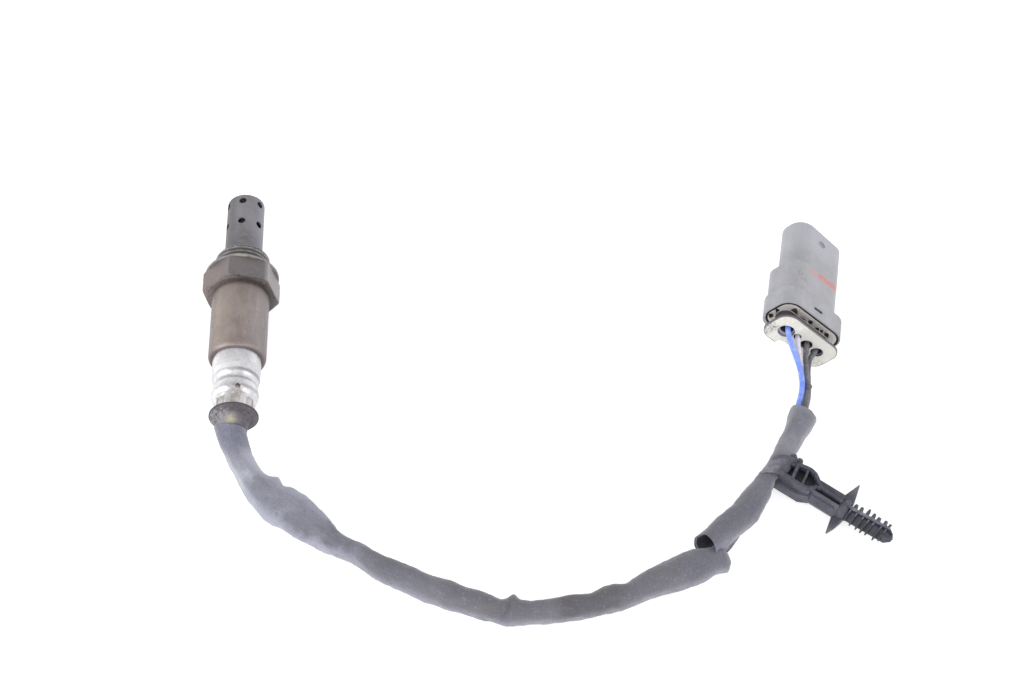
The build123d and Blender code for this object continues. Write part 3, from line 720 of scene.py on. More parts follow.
def block(low, high, bevel=0.14, seg=2):
    """A closed piece between two matching outlines, its edges rounded."""
    bm = bmesh.new()
    a = [bm.verts.new(p) for p in low]
    b = [bm.verts.new(p) for p in high]
    n = len(a)
    bm.faces.new(a[::-1])
    bm.faces.new(b)
    for k in range(n):
        bm.faces.new((a[k], a[(k + 1) % n], b[(k + 1) % n], b[k]))
    bmesh.ops.recalc_face_normals(bm, faces=bm.faces[:])
    if bevel:
        bmesh.ops.bevel(bm, geom=bm.edges[:], offset=bevel, segments=seg, profile=0.6, affect="EDGES", clamp_overlap=True)
    bm.verts.index_update()
    base = len(clip_v)
    for v in bm.verts:
        clip_v.append(clip_world(v.co))
    for f in bm.faces:
        clip_f.append(tuple(base + v.index for v in f.verts))
    bm.free()


def slab(outline, z0, z1, bevel=0.14, shrink=0.0):
    cxm = sum(p[0] for p in outline) / len(outline)
    cym = sum(p[1] for p in outline) / len(outline)
    top = [(p[0] + (cxm - p[0]) * shrink, p[1] + (cym - p[1]) * shrink, z1) for p in outline]
    block([(p[0], p[1], z0) for p in outline], top, bevel)


def bar(line, width, z0, z1, bevel=0.14):
    """A rib of even width along a line; z1 may be a list, one height per point."""
    left, right = [], []
    for k, p in enumerate(line):
        a = line[max(k - 1, 0)]
        b = line[min(k + 1, len(line) - 1)]
        dx, dy = b[0] - a[0], b[1] - a[1]
        q = hypot(dx, dy)
        h = z1[k] if isinstance(z1, list) else z1
        left.append((p[0] - dy / q * width / 2, p[1] + dx / q * width / 2, h))
        right.append((p[0] + dy / q * width / 2, p[1] - dx / q * width / 2, h))
    for k in range(len(line) - 1):
        top = [right[k], right[k + 1], left[k + 1], left[k]]
        block([(p[0], p[1], z0) for p in top], top, bevel)


# head: floor, wedge-shaped near side, far rail, rib, strut
slab([(3.9, -4.2), (12.3, -4.1), (15.7, -2.7), (16.3, 3.7), (14.0, 5.2), (11.0, 5.7), (7.2, 4.8), (3.9, 4.7)], -3.2, 0.6, 0.2)
block(
    [(3.9, -4.3, -3.2), (12.2, -4.2, -3.2), (12.2, -1.0, -3.2), (3.9, -1.0, -3.2)],
    [(3.9, -2.0, 3.1), (12.2, -2.1, 3.1), (12.2, -1.15, 3.1), (3.9, -1.15, 3.1)], 0.22,
)
block(
    [(12.0, -4.25, -3.2), (12.9, -4.2, -3.2), (15.9, -2.6, -3.1), (15.9, 0.4, -3.1), (12.0, -0.6, -3.2)],
    [(12.0, -2.2, 2.9), (13.0, -2.25, 2.7), (15.4, -1.75, 2.1), (15.6, 0.1, 2.1), (12.0, -1.0, 2.9)], 0.22,
)
bar([(3.9, -1.55), (8.5, -1.6), (11.6, -1.85), (13.3, -1.75), (14.7, -1.1), (15.7, -0.1), (16.5, 0.85), (17.8, 1.4)],
    0.95, 0.2, [3.15, 3.2, 3.25, 3.3, 3.3, 3.25, 3.1, 2.9], 0.2)
bar([(6.7, 4.2), (9.0, 4.75), (11.3, 5.05), (13.4, 4.6), (15.0, 3.5), (16.3, 2.4), (17.6, 1.7)],
    1.15, -2.9, [3.0, 3.1, 3.15, 3.1, 3.05, 3.0, 2.85], 0.24)
bar([(10.7, 4.9), (11.5, 1.8), (12.2, -1.3)], 0.75, 0.3, [3.0, 2.7, 3.0], 0.18)
bar([(7.2, 4.4), (7.9, 1.4), (8.6, -1.3)], 1.1, 0.3, [3.1, 2.9, 2.9], 0.24)
bar([(4.6, 2.7), (5.6, 1.2), (5.5, -0.4)], 0.9, 0.3, [2.4, 2.6, 2.5], 0.25)
slab([(5.0, 2.9), (6.9, 3.3), (6.7, 4.3), (5.2, 4.3)], -2.0, 2.5, 0.25)
slab([(5.3, 4.3), (7.2, 4.5), (7.4, 6.9), (6.6, 7.5), (5.5, 7.2)], -0.6, 1.9, 0.35)
slab([(5.6, 5.6), (6.9, 5.7), (6.9, 7.0), (5.8, 7.0)], 1.6, 2.3, 0.25)
slab([(3.4, 3.0), (5.2, 3.0), (5.9, 5.2), (5.6, 6.4), (4.4, 7.5), (3.5, 7.3)], -1.6, 2.3, 0.35)
# stem: sloping near side, groove, rail, far flat with its raised edge
block(
    [(14.6, -2.5, -3.0), (14.6, -2.9, -1.5), (14.6, -0.45, 2.45), (14.6, 0.2, 0.9), (14.6, 0.2, -3.0)],
    [(25.6, -2.4, -3.0), (25.6, -2.8, -1.5), (25.6, -0.45, 2.35), (25.6, 0.2, 0.9), (25.6, 0.2, -3.0)], 0.16,
)
block(
    [(14.6, 0.0, -3.0), (14.6, 0.0, 1.0), (14.6, 4.1, 1.0), (14.6, 4.1, -3.0)],
    [(25.6, 0.0, -3.0), (25.6, 0.0, 1.0), (25.6, 4.1, 1.0), (25.6, 4.1, -3.0)], 0.1,
)
bar([(17.2, 1.5), (21.5, 1.5), (25.6, 1.25)], 0.85, 0.8, [2.95, 2.85, 2.8], 0.2)
block(
    [(15.6, 1.6, 0.8), (15.6, 1.7, 1.75), (15.6, 4.2, 1.95), (15.6, 4.2, 0.8)],
    [(25.2, 1.5, 0.8), (25.2, 1.6, 1.65), (25.2, 4.25, 1.95), (25.2, 4.25, 0.8)], 0.14,
)
# hub of the umbrella: a low rounded boss
hub_v0 = len(clip_v)
n1, n2 = 9, 22
for a in range(n1 + 1):
    th = pi * a / n1
    for b in range(n2):
        ph = 2 * pi * b / n2
        q = (26.6 + 2.1 * sin(th) * cos(ph), 0.9 + 3.7 * sin(th) * sin(ph), -0.4 + 2.75 * cos(th))
        q = (q[0], q[1], max(q[2], -2.9))
        clip_v.append(clip_world(q))
for a in range(n1):
    for b in range(n2):
        b2 = (b + 1) % n2
        i0, i1 = hub_v0 + a * n2, hub_v0 + (a + 1) * n2
        clip_f.append((i0 + b, i1 + b, i1 + b2, i0 + b2))
# its two leaves, thin and drawn out to a point
block(
    [(24.7, 2.9, -0.9), (24.1, 5.0, -0.7), (24.75, 8.2, -0.45), (25.45, 11.35, -0.15), (25.85, 11.3, -0.15), (26.9, 8.2, -0.45), (28.05, 4.7, -0.7), (28.3, 2.9, -0.9)],
    [(24.9, 2.9, 0.9), (24.3, 5.0, 0.6), (24.9, 8.2, 0.3), (25.5, 11.35, 0.12), (25.85, 11.3, 0.12), (26.8, 8.2, 0.3), (27.9, 4.7, 0.7), (28.2, 2.9, 1.0)], 0.1,
)
block(
    [(24.9, -1.2, -2.7), (24.7, -3.4, -2.6), (25.6, -6.3, -2.4), (26.45, -9.0, -2.15), (26.95, -9.0, -2.15), (27.7, -6.2, -2.4), (28.1, -3.2, -2.6), (28.2, -1.2, -2.7)],
    [(25.0, -1.2, -0.9), (24.8, -3.4, -1.3), (25.7, -6.3, -1.65), (26.5, -9.0, -1.85), (26.9, -9.0, -1.85), (27.6, -6.2, -1.65), (28.0, -3.2, -1.2), (28.1, -1.2, -0.8)], 0.1,
)
# fir tree: core, spine, swept fins, tip
block(
    [(27.6, -1.5, -2.1), (27.6, -1.3, -1.4), (27.6, 0.9, 0.7), (27.6, 2.3, 0.8), (27.6, 3.3, -0.1), (27.6, 3.3, -2.1)],
    [(41.4, -1.1, -2.1), (41.4, -0.9, -1.4), (41.4, 1.2, 0.6), (41.4, 2.5, 0.7), (41.4, 3.3, -0.1), (41.4, 3.3, -2.1)], 0.2,
)
bar([(27.6, 1.45), (31.0, 1.62), (36.0, 2.0), (42.2, 2.4)], 0.62, -0.2, [2.35, 2.3, 2.2, 2.0], 0.16)
fins = [
    (29.0, 5.0, -1.9), (31.1, 5.2, -2.4), (33.4, 6.0, -2.6), (35.3, 5.6, -2.7), (37.1, 5.3, -2.4), (39.6, 5.5, -2.6),
    (41.3, 4.0, -1.7),
]
for k, (x0, up_y, lo_y) in enumerate(fins):
    j = noise.noise(Vector((k * 1.7, 0.3, 2.0)))
    mid_y = 1.45 + 0.07 * (x0 - 29)
    prof = [
        (lo_y, -1.7), (lo_y + 0.25, -0.6), (mid_y - 2.2, 0.75), (mid_y - 0.7, 1.55), (mid_y + 0.7, 1.6), (mid_y + 2.2, 0.95),
        (up_y - 0.3, 0.25), (up_y, -0.5), (up_y - 0.7, -1.6), (mid_y, -2.15),
    ]
    def back(y, x0=x0, mid_y=mid_y, j=j):
        return x0 - (0.05 if y > mid_y else 0.15) * abs(y - mid_y) - 0.08 * j * (y - mid_y)
    thick = [0.38 + (0.42 * bell(y - mid_y, 2.5, 1.1) if y > mid_y else 0.12 * bell(mid_y - y, 2.6, 0.9)) for y, z in prof]
    block([(back(y) - 0.05 - 0.4 * (w_ - 0.42), y, z) for (y, z), w_ in zip(prof, thick)],
          [(back(y) + w_, y, z) for (y, z), w_ in zip(prof, thick)], 0.11)
block(
    [(41.0, -1.0, -2.1), (42.3, -1.15, -2.1), (44.1, 0.3, -1.7), (44.3, 1.7, -1.6), (42.2, 3.6, -2.0), (41.0, 3.5, -2.1)],
    [(41.0, -0.5, 0.9), (42.1, -0.6, 0.8), (43.9, 0.7, 0.2), (44.1, 1.6, 0.3), (42.0, 3.2, 1.1), (41.0, 3.1, 1.2)], 0.3,
)
bar([(41.4, 2.3), (42.6, 2.2), (43.8, 1.6)], 0.5, 0.2, [2.0, 1.6, 0.8], 0.15)
# strap round the waist of the sleeve
strap_mid = Vector((170.22, -76.88, LZ))
strap_way = Vector((0.5454, 0.8382, 0)).normalized()
strap_side = Vector((strap_way.y, -strap_way.x, 0))
prof = [
    (-2.8, 3.14), (-2.95, 3.9), (-2.8, 4.3), (-2.35, 4.42), (-1.9, 4.2), (-1.4, 3.98), (-0.4, 3.9), (0.6, 3.9), (1.5, 3.95), (2.3, 4.0),
    (2.65, 3.9), (2.8, 3.65), (2.8, 3.14),
]
NS = 72
b0 = len(clip_v)
for w, r in prof:
    for k in range(NS):
        a = 2 * pi * k / NS
        t = (w + 2.8) / 5.6
        lean = (1 - t) * (1.5 * cos(a) - 0.75) + t * (1.8 * cos(a) + 1.5)
        lean *= 0.35 + 0.65 * smooth(sin(a), -0.6, 0.1)
        q = strap_mid + strap_way * (w + lean) + strap_side * (r * cos(a)) + Vector((0, 0, r * sin(a)))
        if r > 3.2:
            q += strap_side * 0.3
            q += (strap_side * cos(a) + Vector((0, 0, sin(a)))) * 0.07 * noise.noise(q * 0.5)
        clip_v.append(q)
m_ = len(prof)
for i in range(m_):
    a0, a1 = b0 + i * NS, b0 + ((i + 1) % m_) * NS
    for k in range(NS):
        k2 = (k + 1) % NS
        clip_f.append((a0 + k, a0 + k2, a1 + k2, a1 + k))
clip_piece = mesh_object("harness_clip", clip_v, clip_f, None, 32.0)
bm = bmesh.new()
bm.from_mesh(clip_piece.data)
bmesh.ops.dissolve_degenerate(bm, dist=1e-6, edges=bm.edges[:])
bmesh.ops.recalc_face_normals(bm, faces=bm.faces[:])
bm.to_mesh(clip_piece.data)
bm.free()
clip_piece.data.set_sharp_from_angle(angle=radians(32.0))
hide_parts("fir_tree_clip")
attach(clip_piece, "root")

sleeve = mesh_object("sleeve_woven", verts, faces, uvs, 50.0)
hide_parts("heat_sleeve")
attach(sleeve, "root")

# ---------------------------------------------------------------------------
# rear retainer: outer plate with its notch, neck, inner plate with its openings
# ---------------------------------------------------------------------------
ret = bmesh.new()


def corner_box(cu, cv, w, h, r, n=10):
    pts = []
    for sx, sy, a0 in ((1, 1, 0), (-1, 1, 90), (-1, -1, 180), (1, -1, 270)):
        for k in range(n + 1):
            a = radians(a0 + 90 * k / n)
            pts.append((cu + sx * (w / 2 - r) + r * cos(a), cv + sy * (h / 2 - r) + r * sin(a)))
    return pts


def circle(cu, cv, r, n=36):
    return [(cu + r * cos(2 * pi * k / n), cv + r * sin(2 * pi * k / n)) for k in range(n)]


def layer(outer, holes, s0, s1, bevel):
    """A flat layer of the retainer between two depths, pierced by its holes."""
    cu = bpy.data.curves.new("layer", "CURVE")
    cu.dimensions = "2D"
    cu.fill_mode = "BOTH"
    cu.extrude = (s1 - s0) / 2 - bevel
    cu.bevel_depth = bevel
    cu.bevel_resolution = 2
    cu.offset = -bevel
    for pts in [outer] + holes:
        spl = cu.splines.new("POLY")
        spl.points.add(len(pts) - 1)
        for p, q in zip(spl.points, pts):
            p.co = (q[0], q[1], 0, 1)
        spl.use_cyclic_u = True
    ob = link(bpy.data.objects.new("layer", cu))
    bpy.context.view_layer.update()
    me = bpy.data.meshes.new_from_object(ob)
    vs_ = [ret.verts.new(plug(v.co.x, v.co.y, (s0 + s1) / 2 + v.co.z)) for v in me.vertices]
    ret.verts.ensure_lookup_table()
    for f in me.polygons:
        try:
            ret.faces.new([vs_[i] for i in f.vertices])
        except ValueError:
            pass
    bmesh.ops.remove_doubles(ret, verts=vs_, dist=0.003)
    bpy.data.objects.remove(ob)
    bpy.data.curves.remove(cu)
    bpy.data.meshes.remove(me)


edge_ = corner_box(0, -0.1, 25.8, 13.5, 4.5)
notch = [(-4.9, -6.85), (-5.0, -6.3), (-4.9, -5.4), (-4.4, -4.75), (-3.4, -4.4), (-1.0, -4.3), (1.4, -4.5), (3.0, -4.95), (3.7, -5.6), (3.9, -6.85)]
edge_ = edge_[:33] + notch + edge_[33:]
layer(edge_, [circle(-6.6, -0.2, 2.75), circle(-2.4, 0.8, 1.28), circle(2.2, 0.4, 2.0), circle(7.1, 0.4, 2.05)], -5.8, -4.95, 0.16)
layer(corner_box(0, -0.35, 21.0, 6.5, 2.8), [circle(-6.9, 0.4, 2.2), circle(-2.3, 0.5, 1.7), circle(2.3, 0.4, 1.9), circle(6.9, 0.4, 1.9)], -5.1, 0.4, 0.05)
inner_holes = [circle(-6.9, 0.4, 1.7), circle(-2.3, 0.4, 1.7), circle(2.3, 0.4, 1.7), circle(6.9, 0.4, 1.7)]
openings = [
    [(-12.10, -0.47), (-11.89, 0.13), (-11.46, 0.35), (-10.58, 0.22), (-9.64, 0.85), (-8.76, 2.53), (-8.71, 3.99), (-8.51, 4.64), (-8.05, 4.99), (-6.82, 4.42), (-5.40, 3.00), (-4.85, 1.60), (-4.80, 0.30), (-5.50, -1.20), (-7.20, -1.70), (-8.50, -2.60), (-9.60, -2.30)],
    [(-11.68, -3.70), (-11.29, -2.64), (-10.34, -2.85), (-9.45, -3.69), (-9.74, -4.90), (-10.86, -4.63)],
    [(-4.94, 3.11), (-3.84, 3.44), (-2.27, 3.56), (-1.61, 3.16), (-3.28, 2.45)],
    [(-1.34, 3.95), (-1.10, 4.65), (-0.24, 4.90), (0.94, 3.56), (0.37, 2.84), (-0.71, 3.05)],
    [(2.35, 3.37), (3.46, 4.21), (4.70, 2.93), (3.26, 2.53)],
    [(4.17, 3.97), (5.03, 4.50), (6.19, 3.29), (5.35, 2.90)],
    [(6.04, 4.36), (7.81, 4.61), (9.11, 2.82), (7.27, 2.77)],
]
layer(corner_box(0.1, -0.1, 24.8, 12.8, 4.4), openings + inner_holes[1:], 0.1, 1.25, 0.12)
layer(corner_box(0.1, -0.1, 24.4, 12.4, 4.3), inner_holes, 1.2, 1.6, 0.05)
bmesh.ops.recalc_face_normals(ret, faces=ret.faces[:])
for v in ret.verts:
    v.co = v.co * MM
ret_me = bpy.data.meshes.new("retainer_body")
ret.to_mesh(ret_me)
ret.free()
ret_me.polygons.foreach_set("use_smooth", [True] * len(ret_me.polygons))
ret_me.set_sharp_from_angle(angle=radians(30.0))
retainer = link(bpy.data.objects.new("retainer_body", ret_me))
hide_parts("rear_retainer")
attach(retainer, "root")

# ---------------------------------------------------------------------------
# leads
# ---------------------------------------------------------------------------
leads = {}
knot = Vector((184.2, -46.0, -6.0))
for idx, (name, (across, rise, u, tail)) in enumerate(lead_tails.items()):
    body = beside(sleeve_points, across, rise)[:-1]
    body[12] = (body[12][0], body[12][1], body[12][2] - 1.3)
    body[13] = (body[13][0], body[13][1], body[13][2] - 0.8)
    body[0] = (across, -54.5, rise)
    hole = plug(u, 0.4, 0)
    ctrl = body + [tuple(q) for q in tail] + [tuple(hole + fwd * 2.0)]
    line = centre_line("line_" + name, ctrl, 12)
    LL = Line(line)
    vs, us, rws = [], [], []
    n = 20
    s = 0.0
    k = int(LL.length / 0.7)
    for j in range(k + 1):
        s = LL.length * j / k
        r = ring(LL.at(s), LL.way(s), 0.875, 0.875, 0.875, 0.875, None, 0.0, n)
        for kk, q in enumerate(r):
            d = 0.035 * noise.noise(Vector((s * 0.35, kk * 0.0, idx * 5.0)))
            c = LL.at(s)
            if name == "black_a":
                # nick standing off the insulation
                d += 0.9 * exp(-(((q - knot).length) / 0.85) ** 2)
            if name.startswith("black") and s > LL.length - 26:
                d += 0.16 * noise.noise(q * 0.9) * smooth(s, LL.length - 26, LL.length - 14)
            q = c + (q - c) * (1 + d)
            vs.append(q)
            us.append((s / 10.0, kk / n))
        rws.append(0)
    fs = grid(rws, n)
    fs.append(tuple(range(n))[::-1])
    fs.append(tuple(len(vs) - n + q for q in range(n)))
    ob = mesh_object("wire_" + name, vs, fs, us, 60.0)
    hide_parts("lead_" + name)
    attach(ob, "root")
    leads[name] = ob

# ---------------------------------------------------------------------------
# threaded body: hexagon, helical thread, nose and hidden bore
# ---------------------------------------------------------------------------
NB = 240


def smin(a, b, k):
    h = max(k - abs(a - b), 0.0) / k
    return min(a, b) - h * h * k * 0.25


def thread_radius(th, y):
    t = (y / 1.5 - th / (2 * pi)) % 1.0
    tri = abs(2 * t - 1)
    f = min(max((tri - 0.14) / 0.66, 0.0), 1.0)
    f = f * f * (3 - 2 * f) * 0.35 + f * 0.65
    r = 9.0 - 0.8 * f
    r = smin(r, 8.15 + (7.1 - y) * 1.25, 0.12)
    r = smin(r, 8.35 + max(y - 0.15, 0.0) * 2.2, 0.1)
    return r


def hex_radius(th, y):
    a = (degrees(th) + 17.0) % 60.0
    R = 11.14 / cos(radians(a - 30.0))
    R = smin(R, 12.82, 0.12)
    d = y + 9.4
    c = min(11.15 + max(d, 0.0) * 1.95, 11.6 + max(-0.8 - y, 0.0) * 1.95)
    nick = 0.05 * noise.noise(Vector((cos(th) * 14, y * 1.2, sin(th) * 14)))
    return smin(R, c, 0.16) + nick


stations = [(7.1, 5.0), (7.1, 6.5), (7.1, 8.0)]
y = 7.02
while y > 0.0:
    stations.append((y, "t"))
    y -= 0.095
stations += [(0.0, 8.3), (-0.8, 8.3), (-0.8, 9.6)]
for d in (0.0, 0.06, 0.14, 0.22, 0.3, 0.4, 0.5, 0.6, 0.7, 0.8, 0.9, 1.0, 1.1, 1.4, 2.0, 3.0, 4.3):
    stations.append((-0.8 - d, "h"))
for d in (3.0, 2.0, 1.4, 1.1, 1.0, 0.9, 0.8, 0.7, 0.6, 0.5, 0.4, 0.3, 0.22, 0.14, 0.06, 0.0):
    stations.append((-9.4 + d, "h"))
stations += [
    (-9.4, 10.0), (-9.4, 8.55), (-12.6, 8.55), (-13.2, 7.25), (-20.4, 7.25), (-21.1, 6.7), (-21.1, 5.35),
    (-20.2, 5.35), (-20.2, 6.3), (-3.2, 6.3), (-1.9, 5.0),
]
vs = []
for y, r in stations:
    for k in range(NB):
        th = 2 * pi * k / NB - radians(17.0)
        rr = thread_radius(th, y) if r == "t" else hex_radius(th, y) if r == "h" else r
        vs.append((rr * cos(th), y, max(rr * sin(th), FLOOR + 0.005)))
body = mesh_object("threaded_body", vs, grid(stations, NB, True), None, 24.0)
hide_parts("hex_housing")
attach(body, "root")

# ---------------------------------------------------------------------------
# rear cover: rolled groove, bead, jaw marks of the crimp, vent
# ---------------------------------------------------------------------------
COVER = [
    (-36.0, 7.8), (-40.5, 7.78), (-41.9, 7.66), (-43.0, 7.6), (-43.5, 7.5), (-44.0, 7.34), (-44.6, 7.08),
    (-45.2, 6.9), (-45.7, 6.87), (-46.1, 7.02), (-46.6, 7.22), (-47.1, 7.2), (-47.5, 7.3), (-48.0, 7.47),
    (-49.0, 7.58), (-49.8, 7.57), (-50.6, 7.36), (-51.3, 7.0), (-51.9, 6.78), (-52.6, 6.72), (-56.7, 6.68),
]
COVER_UP = [(-a, b) for a, b in COVER]
vent_a, vent_y, vent_r = radians(76.7), -50.1, 0.75


def cover_radius(th, y):
    r = 7.8 if y > -36.0 else table(COVER_UP, -y)[0]
    if y < -51.4:
        a = (degrees(th) - 81.0 + 22.5) % 45.0 - 22.5
        k = 1 - smooth(abs(a), 11.5, 15.0)
        j = smooth(y, -56.5, -56.0) * (1 - smooth(y, -52.7, -52.1))
        r -= 0.42 * k * j
        r += 0.12 * bell(abs(a), 22.5, 5.0) * smooth(-y, 51.6, 52.4)
    da = (th - vent_a + pi) % (2 * pi) - pi
    d = hypot(da * 7.4, y - vent_y)
    if d < 1.6:
        r += 0.10 * bell(d, 0.95, 0.25)
        r -= 1.3 * (1 - smooth(d, 0.42, 0.78))
    r += 0.045 * noise.noise(Vector((cos(th) * 2.4, y * 0.5, sin(th) * 2.4)))
    r += 0.018 * noise.noise(Vector((cos(th) * 9, y * 1.6, sin(th) * 9)))
    return r


NCV = 288
stations = [(-13.4, 7.3), (-13.4, 7.8), (-24.0, 7.8), (-35.0, 7.8)]
y = -35.4
while y > -56.55:
    stations.append((y, "c"))
    y -= 0.17 if y < -43 else 0.4
stations += [(-56.62, "c2"), (-56.7, 6.35), (-56.7, 5.85), (-51.9, 5.85), (-51.4, 6.0), (-49.9, 6.0), (-46.2, 5.9), (-45.3, 5.9), (-44.5, 6.4), (-43.2, 7.3)]
vs = []
for y, r in stations:
    for k in range(NCV):
        th = 2 * pi * k / NCV
        rr = cover_radius(th, y) if r == "c" else cover_radius(th, y) - 0.12 if r == "c2" else r
        vs.append((rr * cos(th), y, rr * sin(th)))
cover = mesh_object("crimped_cover", vs, grid(stations, NCV, True), None, 38.0)
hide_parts("rear_cover")
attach(cover, "root")

# ---------------------------------------------------------------------------
# materials
# ---------------------------------------------------------------------------
M = {}


def steel(name, base, dark, light, rough, metal, grain=0.5, bump=0.03, speck=None):
    m = Mat(name, rough, metal)
    a = m.ramp(m.noise(0.22 * grain, 4, 0.6), 0.35, 0.68)
    b = m.ramp(m.noise(1.3 * grain, 3, 0.6), 0.42, 0.72)
    c = m.mix(a, base, dark)
    c = m.mix(m.mul(b, 0.45), c, light)
    fine = m.noise(6.0, 2, 0.6)
    c = m.mix(m.mul(m.ramp(fine, 0.55, 0.75), 0.25), c, dark)
    m.color(c)
    m.rough(m.ramp(b, 0, 1, rough - 0.06, rough + 0.1))
    m.bump(m.noise(3.0, 3, 0.6), bump)
    return m, c


# gas end tube
m, c = steel("tube_steel", lin(148, 144, 149), lin(126, 122, 126), lin(160, 158, 164), 0.52, 0.5)
x, y, z = m.axes()
# painted shade: a mottled dark ring on the tube where its flared base turns
c = m.mix(m.mul(m.band(y, 9.2, 11.0, 2.5), m.ramp(m.noise(0.35, 4), 0.38, 0.62, 0.0, 0.5)), c, lin(104, 100, 104))
c = m.mix(m.mul(m.ramp(y, 19.0, 30.0), 0.3), c, lin(132, 134, 134))
# painted shade across the tube: the right flank darker with a violet tint, the left flank darker still
c = m.mix(m.mul(m.ramp(x, 1.5, 6.0), 0.45), c, lin(126, 124, 140))
c = m.mix(m.mul(m.ramp(x, -1.0, -4.6), 0.8), c, lin(102, 101, 104))
# painted highlight: a mottled pale ring on the tube's flared base
c = m.mix(m.mul(m.mul(m.band(y, 7.0, 8.1, 0.3), m.ramp(m.noise(1.4, 3), 0.3, 0.62)), 0.75), c, lin(196, 192, 194))
m.color(c)
M["tube_steel"] = m.m
m, c = steel("inner_tube_steel", lin(70, 66, 66), lin(50, 47, 47), lin(88, 84, 84), 0.6, 0.6)
M["inner_tube_steel"] = m.m

# threaded body
m, c = steel("housing_steel", lin(132, 124, 124), lin(112, 105, 105), lin(150, 142, 141), 0.52, 0.55, 0.55, 0.04)
x, y, z = m.axes()
rr = m.radius()
# painted light and shade on the hexagon: left facets lighter and warmer, far right facets lighter, the upper middle
# facet darker
left_facet_light = m.ramp(x, -2.0, -9.0)
c = m.mix(m.mul(left_facet_light, 0.6), c, lin(140, 127, 123))
c = m.mix(m.mul(m.ramp(x, 8.0, 9.0), 0.6), c, lin(166, 162, 163))
c = m.mix(m.mul(m.band(x, -2.6, 8.4, 0.6), m.mul(m.ramp(z, 8.0, 9.6), 0.35)), c, lin(112, 110, 112))
thread_zone = m.band(y, 0.0, 7.2, 0.1)
c = m.mix(m.mul(thread_zone, 0.7), c, lin(134, 132, 134))
# painted shade in the thread roots
c = m.mix(m.mul(m.mul(thread_zone, m.ramp(rr, 8.75, 8.3)), 0.75), c, lin(92, 90, 93))
c = m.mix(m.mul(m.mul(thread_zone, m.ramp(rr, 8.78, 8.95)), m.ramp(m.noise(0.8, 3), 0.34, 0.66, 0.0, 0.7)), c, lin(182, 179, 180))
c = m.mix(m.mul(m.mul(m.ramp(y, 5.6, 6.6), m.ramp(m.noise(1.6, 3), 0.36, 0.6)), 0.6), c, lin(178, 175, 178))
# rear face in the barrel's shade, dark and crusted
back = m.ramp(y, -8.45, -8.95)
side_ = m.ramp(x, -9.0, 3.0, 0.35, 1.0)
c = m.mix(m.mul(m.mul(back, side_), 0.85), c, lin(80, 70, 68))
c = m.mix(m.mul(back, m.ramp(m.noise(0.9, 4), 0.58, 0.68, 0.0, 0.8)), c, lin(56, 50, 50))
c = m.mix(m.mul(back, m.ramp(m.noise(1.5, 3), 0.66, 0.74, 0.0, 0.6)), c, lin(170, 164, 160))
# fine tool scratches across the flats
scr = m.noise(1.5, 3, 0.6, m.stretch(2.4, 0.35, 2.4))
c = m.mix(m.mul(m.ramp(scr, 0.60, 0.70), 0.35), c, lin(168, 160, 158))
m.color(c)
M["housing_steel"] = m.m

m, c = steel("gasket_steel", lin(150, 146, 145), lin(120, 116, 116), lin(186, 182, 180), 0.5, 0.5)
x, y, z = m.axes()
# painted highlight along the gasket's front edge, mottled
c = m.mix(m.mul(m.mul(m.ramp(y, -0.35, 0.0), m.ramp(m.noise(0.7, 3), 0.3, 0.6)), 0.6), c, lin(206, 202, 200))
c = m.mix(m.mul(m.spot((0.8, -0.2, 11.6), 1.0, 1.6), 0.5), c, lin(196, 178, 150))
m.color(c)
M["gasket_steel"] = m.m

# barrel
m, c = steel("barrel_steel", lin(160, 147, 141), lin(140, 127, 123), lin(174, 162, 155), 0.52, 0.45, 0.42, 0.03)
x, y, z = m.axes()
rr = m.radius()
# painted light and shade across the barrel: a warm lighter band left of centre, the left flank darker, the right side
# greyer and its flank darker
c = m.mix(m.mul(m.band(x, -6.6, -2.4, 1.6), 0.15), c, lin(172, 159, 143))
c = m.mix(m.mul(m.ramp(x, -5.8, -8.6), 0.7), c, lin(118, 108, 106))
c = m.mix(m.mul(m.ramp(x, 1.6, 6.5), 0.6), c, lin(146, 138, 140))
c = m.mix(m.mul(m.ramp(x, 6.8, 9.2), 0.6), c, lin(116, 110, 113))
streak = m.noise(0.5, 4, 0.6, m.stretch(1.0, 0.12, 1.0))
c = m.mix(m.mul(m.ramp(streak, 0.5, 0.72), 0.3), c, lin(182, 172, 165))
cloud = m.noise(0.55, 5, 0.72)
c = m.mix(m.mul(m.ramp(cloud, 0.53, 0.68), 0.4), c, lin(124, 113, 111))
c = m.mix(m.mul(m.ramp(m.noise(2.2, 3, 0.7), 0.58, 0.72), 0.35), c, lin(118, 108, 106))
# bare, scuffed patch where a plate mark was
patch = m.mul(m.band(x, 2.4, 6.4, 0.8), m.band(y, -30.5, -19.5, 2.0))
patch = m.mul(patch, m.ramp(m.noise(3.4, 4, 0.75), 0.50, 0.66))
c = m.mix(m.mul(patch, 0.45), c, lin(196, 190, 188))
scuff = m.mul(m.band(x, 3.0, 5.4, 0.5), m.band(y, -30.6, -24.6, 0.6))
scuff = m.mul(scuff, m.ramp(m.noise(4.5, 4, 0.8), 0.54, 0.64))
c = m.mix(m.mul(scuff, 0.5), c, lin(214, 209, 206))
# at the hexagon a dark band of painted shade in the gap, then the paler barrel
c = m.mix(m.mul(m.ramp(y, -10.9, -9.6), 0.65), c, lin(96, 84, 80))
# rear rim: painted highlight, a faint pinkish line near the top; painted shade, dark lower on the end and all round the
# roll
end = m.ramp(y, -34.2, -35.3)
c = m.mix(m.mul(m.mul(end, m.ramp(z, 8.6, 5.0)), 0.55), c, lin(104, 96, 98))
rim_highlight = m.mul(m.band(y, -35.5, -35.15, 0.18), m.mul(m.band(x, -4.5, 2.2, 2.0), m.ramp(m.noise(0.3, 3), 0.3, 0.55, 0.5, 1.0)))
c = m.mix(m.mul(rim_highlight, 0.7), c, lin(206, 182, 182))
c = m.mix(m.mul(m.ramp(rr, 9.0, 8.5), 0.85), c, lin(92, 82, 84))
m.color(c)
M["barrel_steel"] = m.m

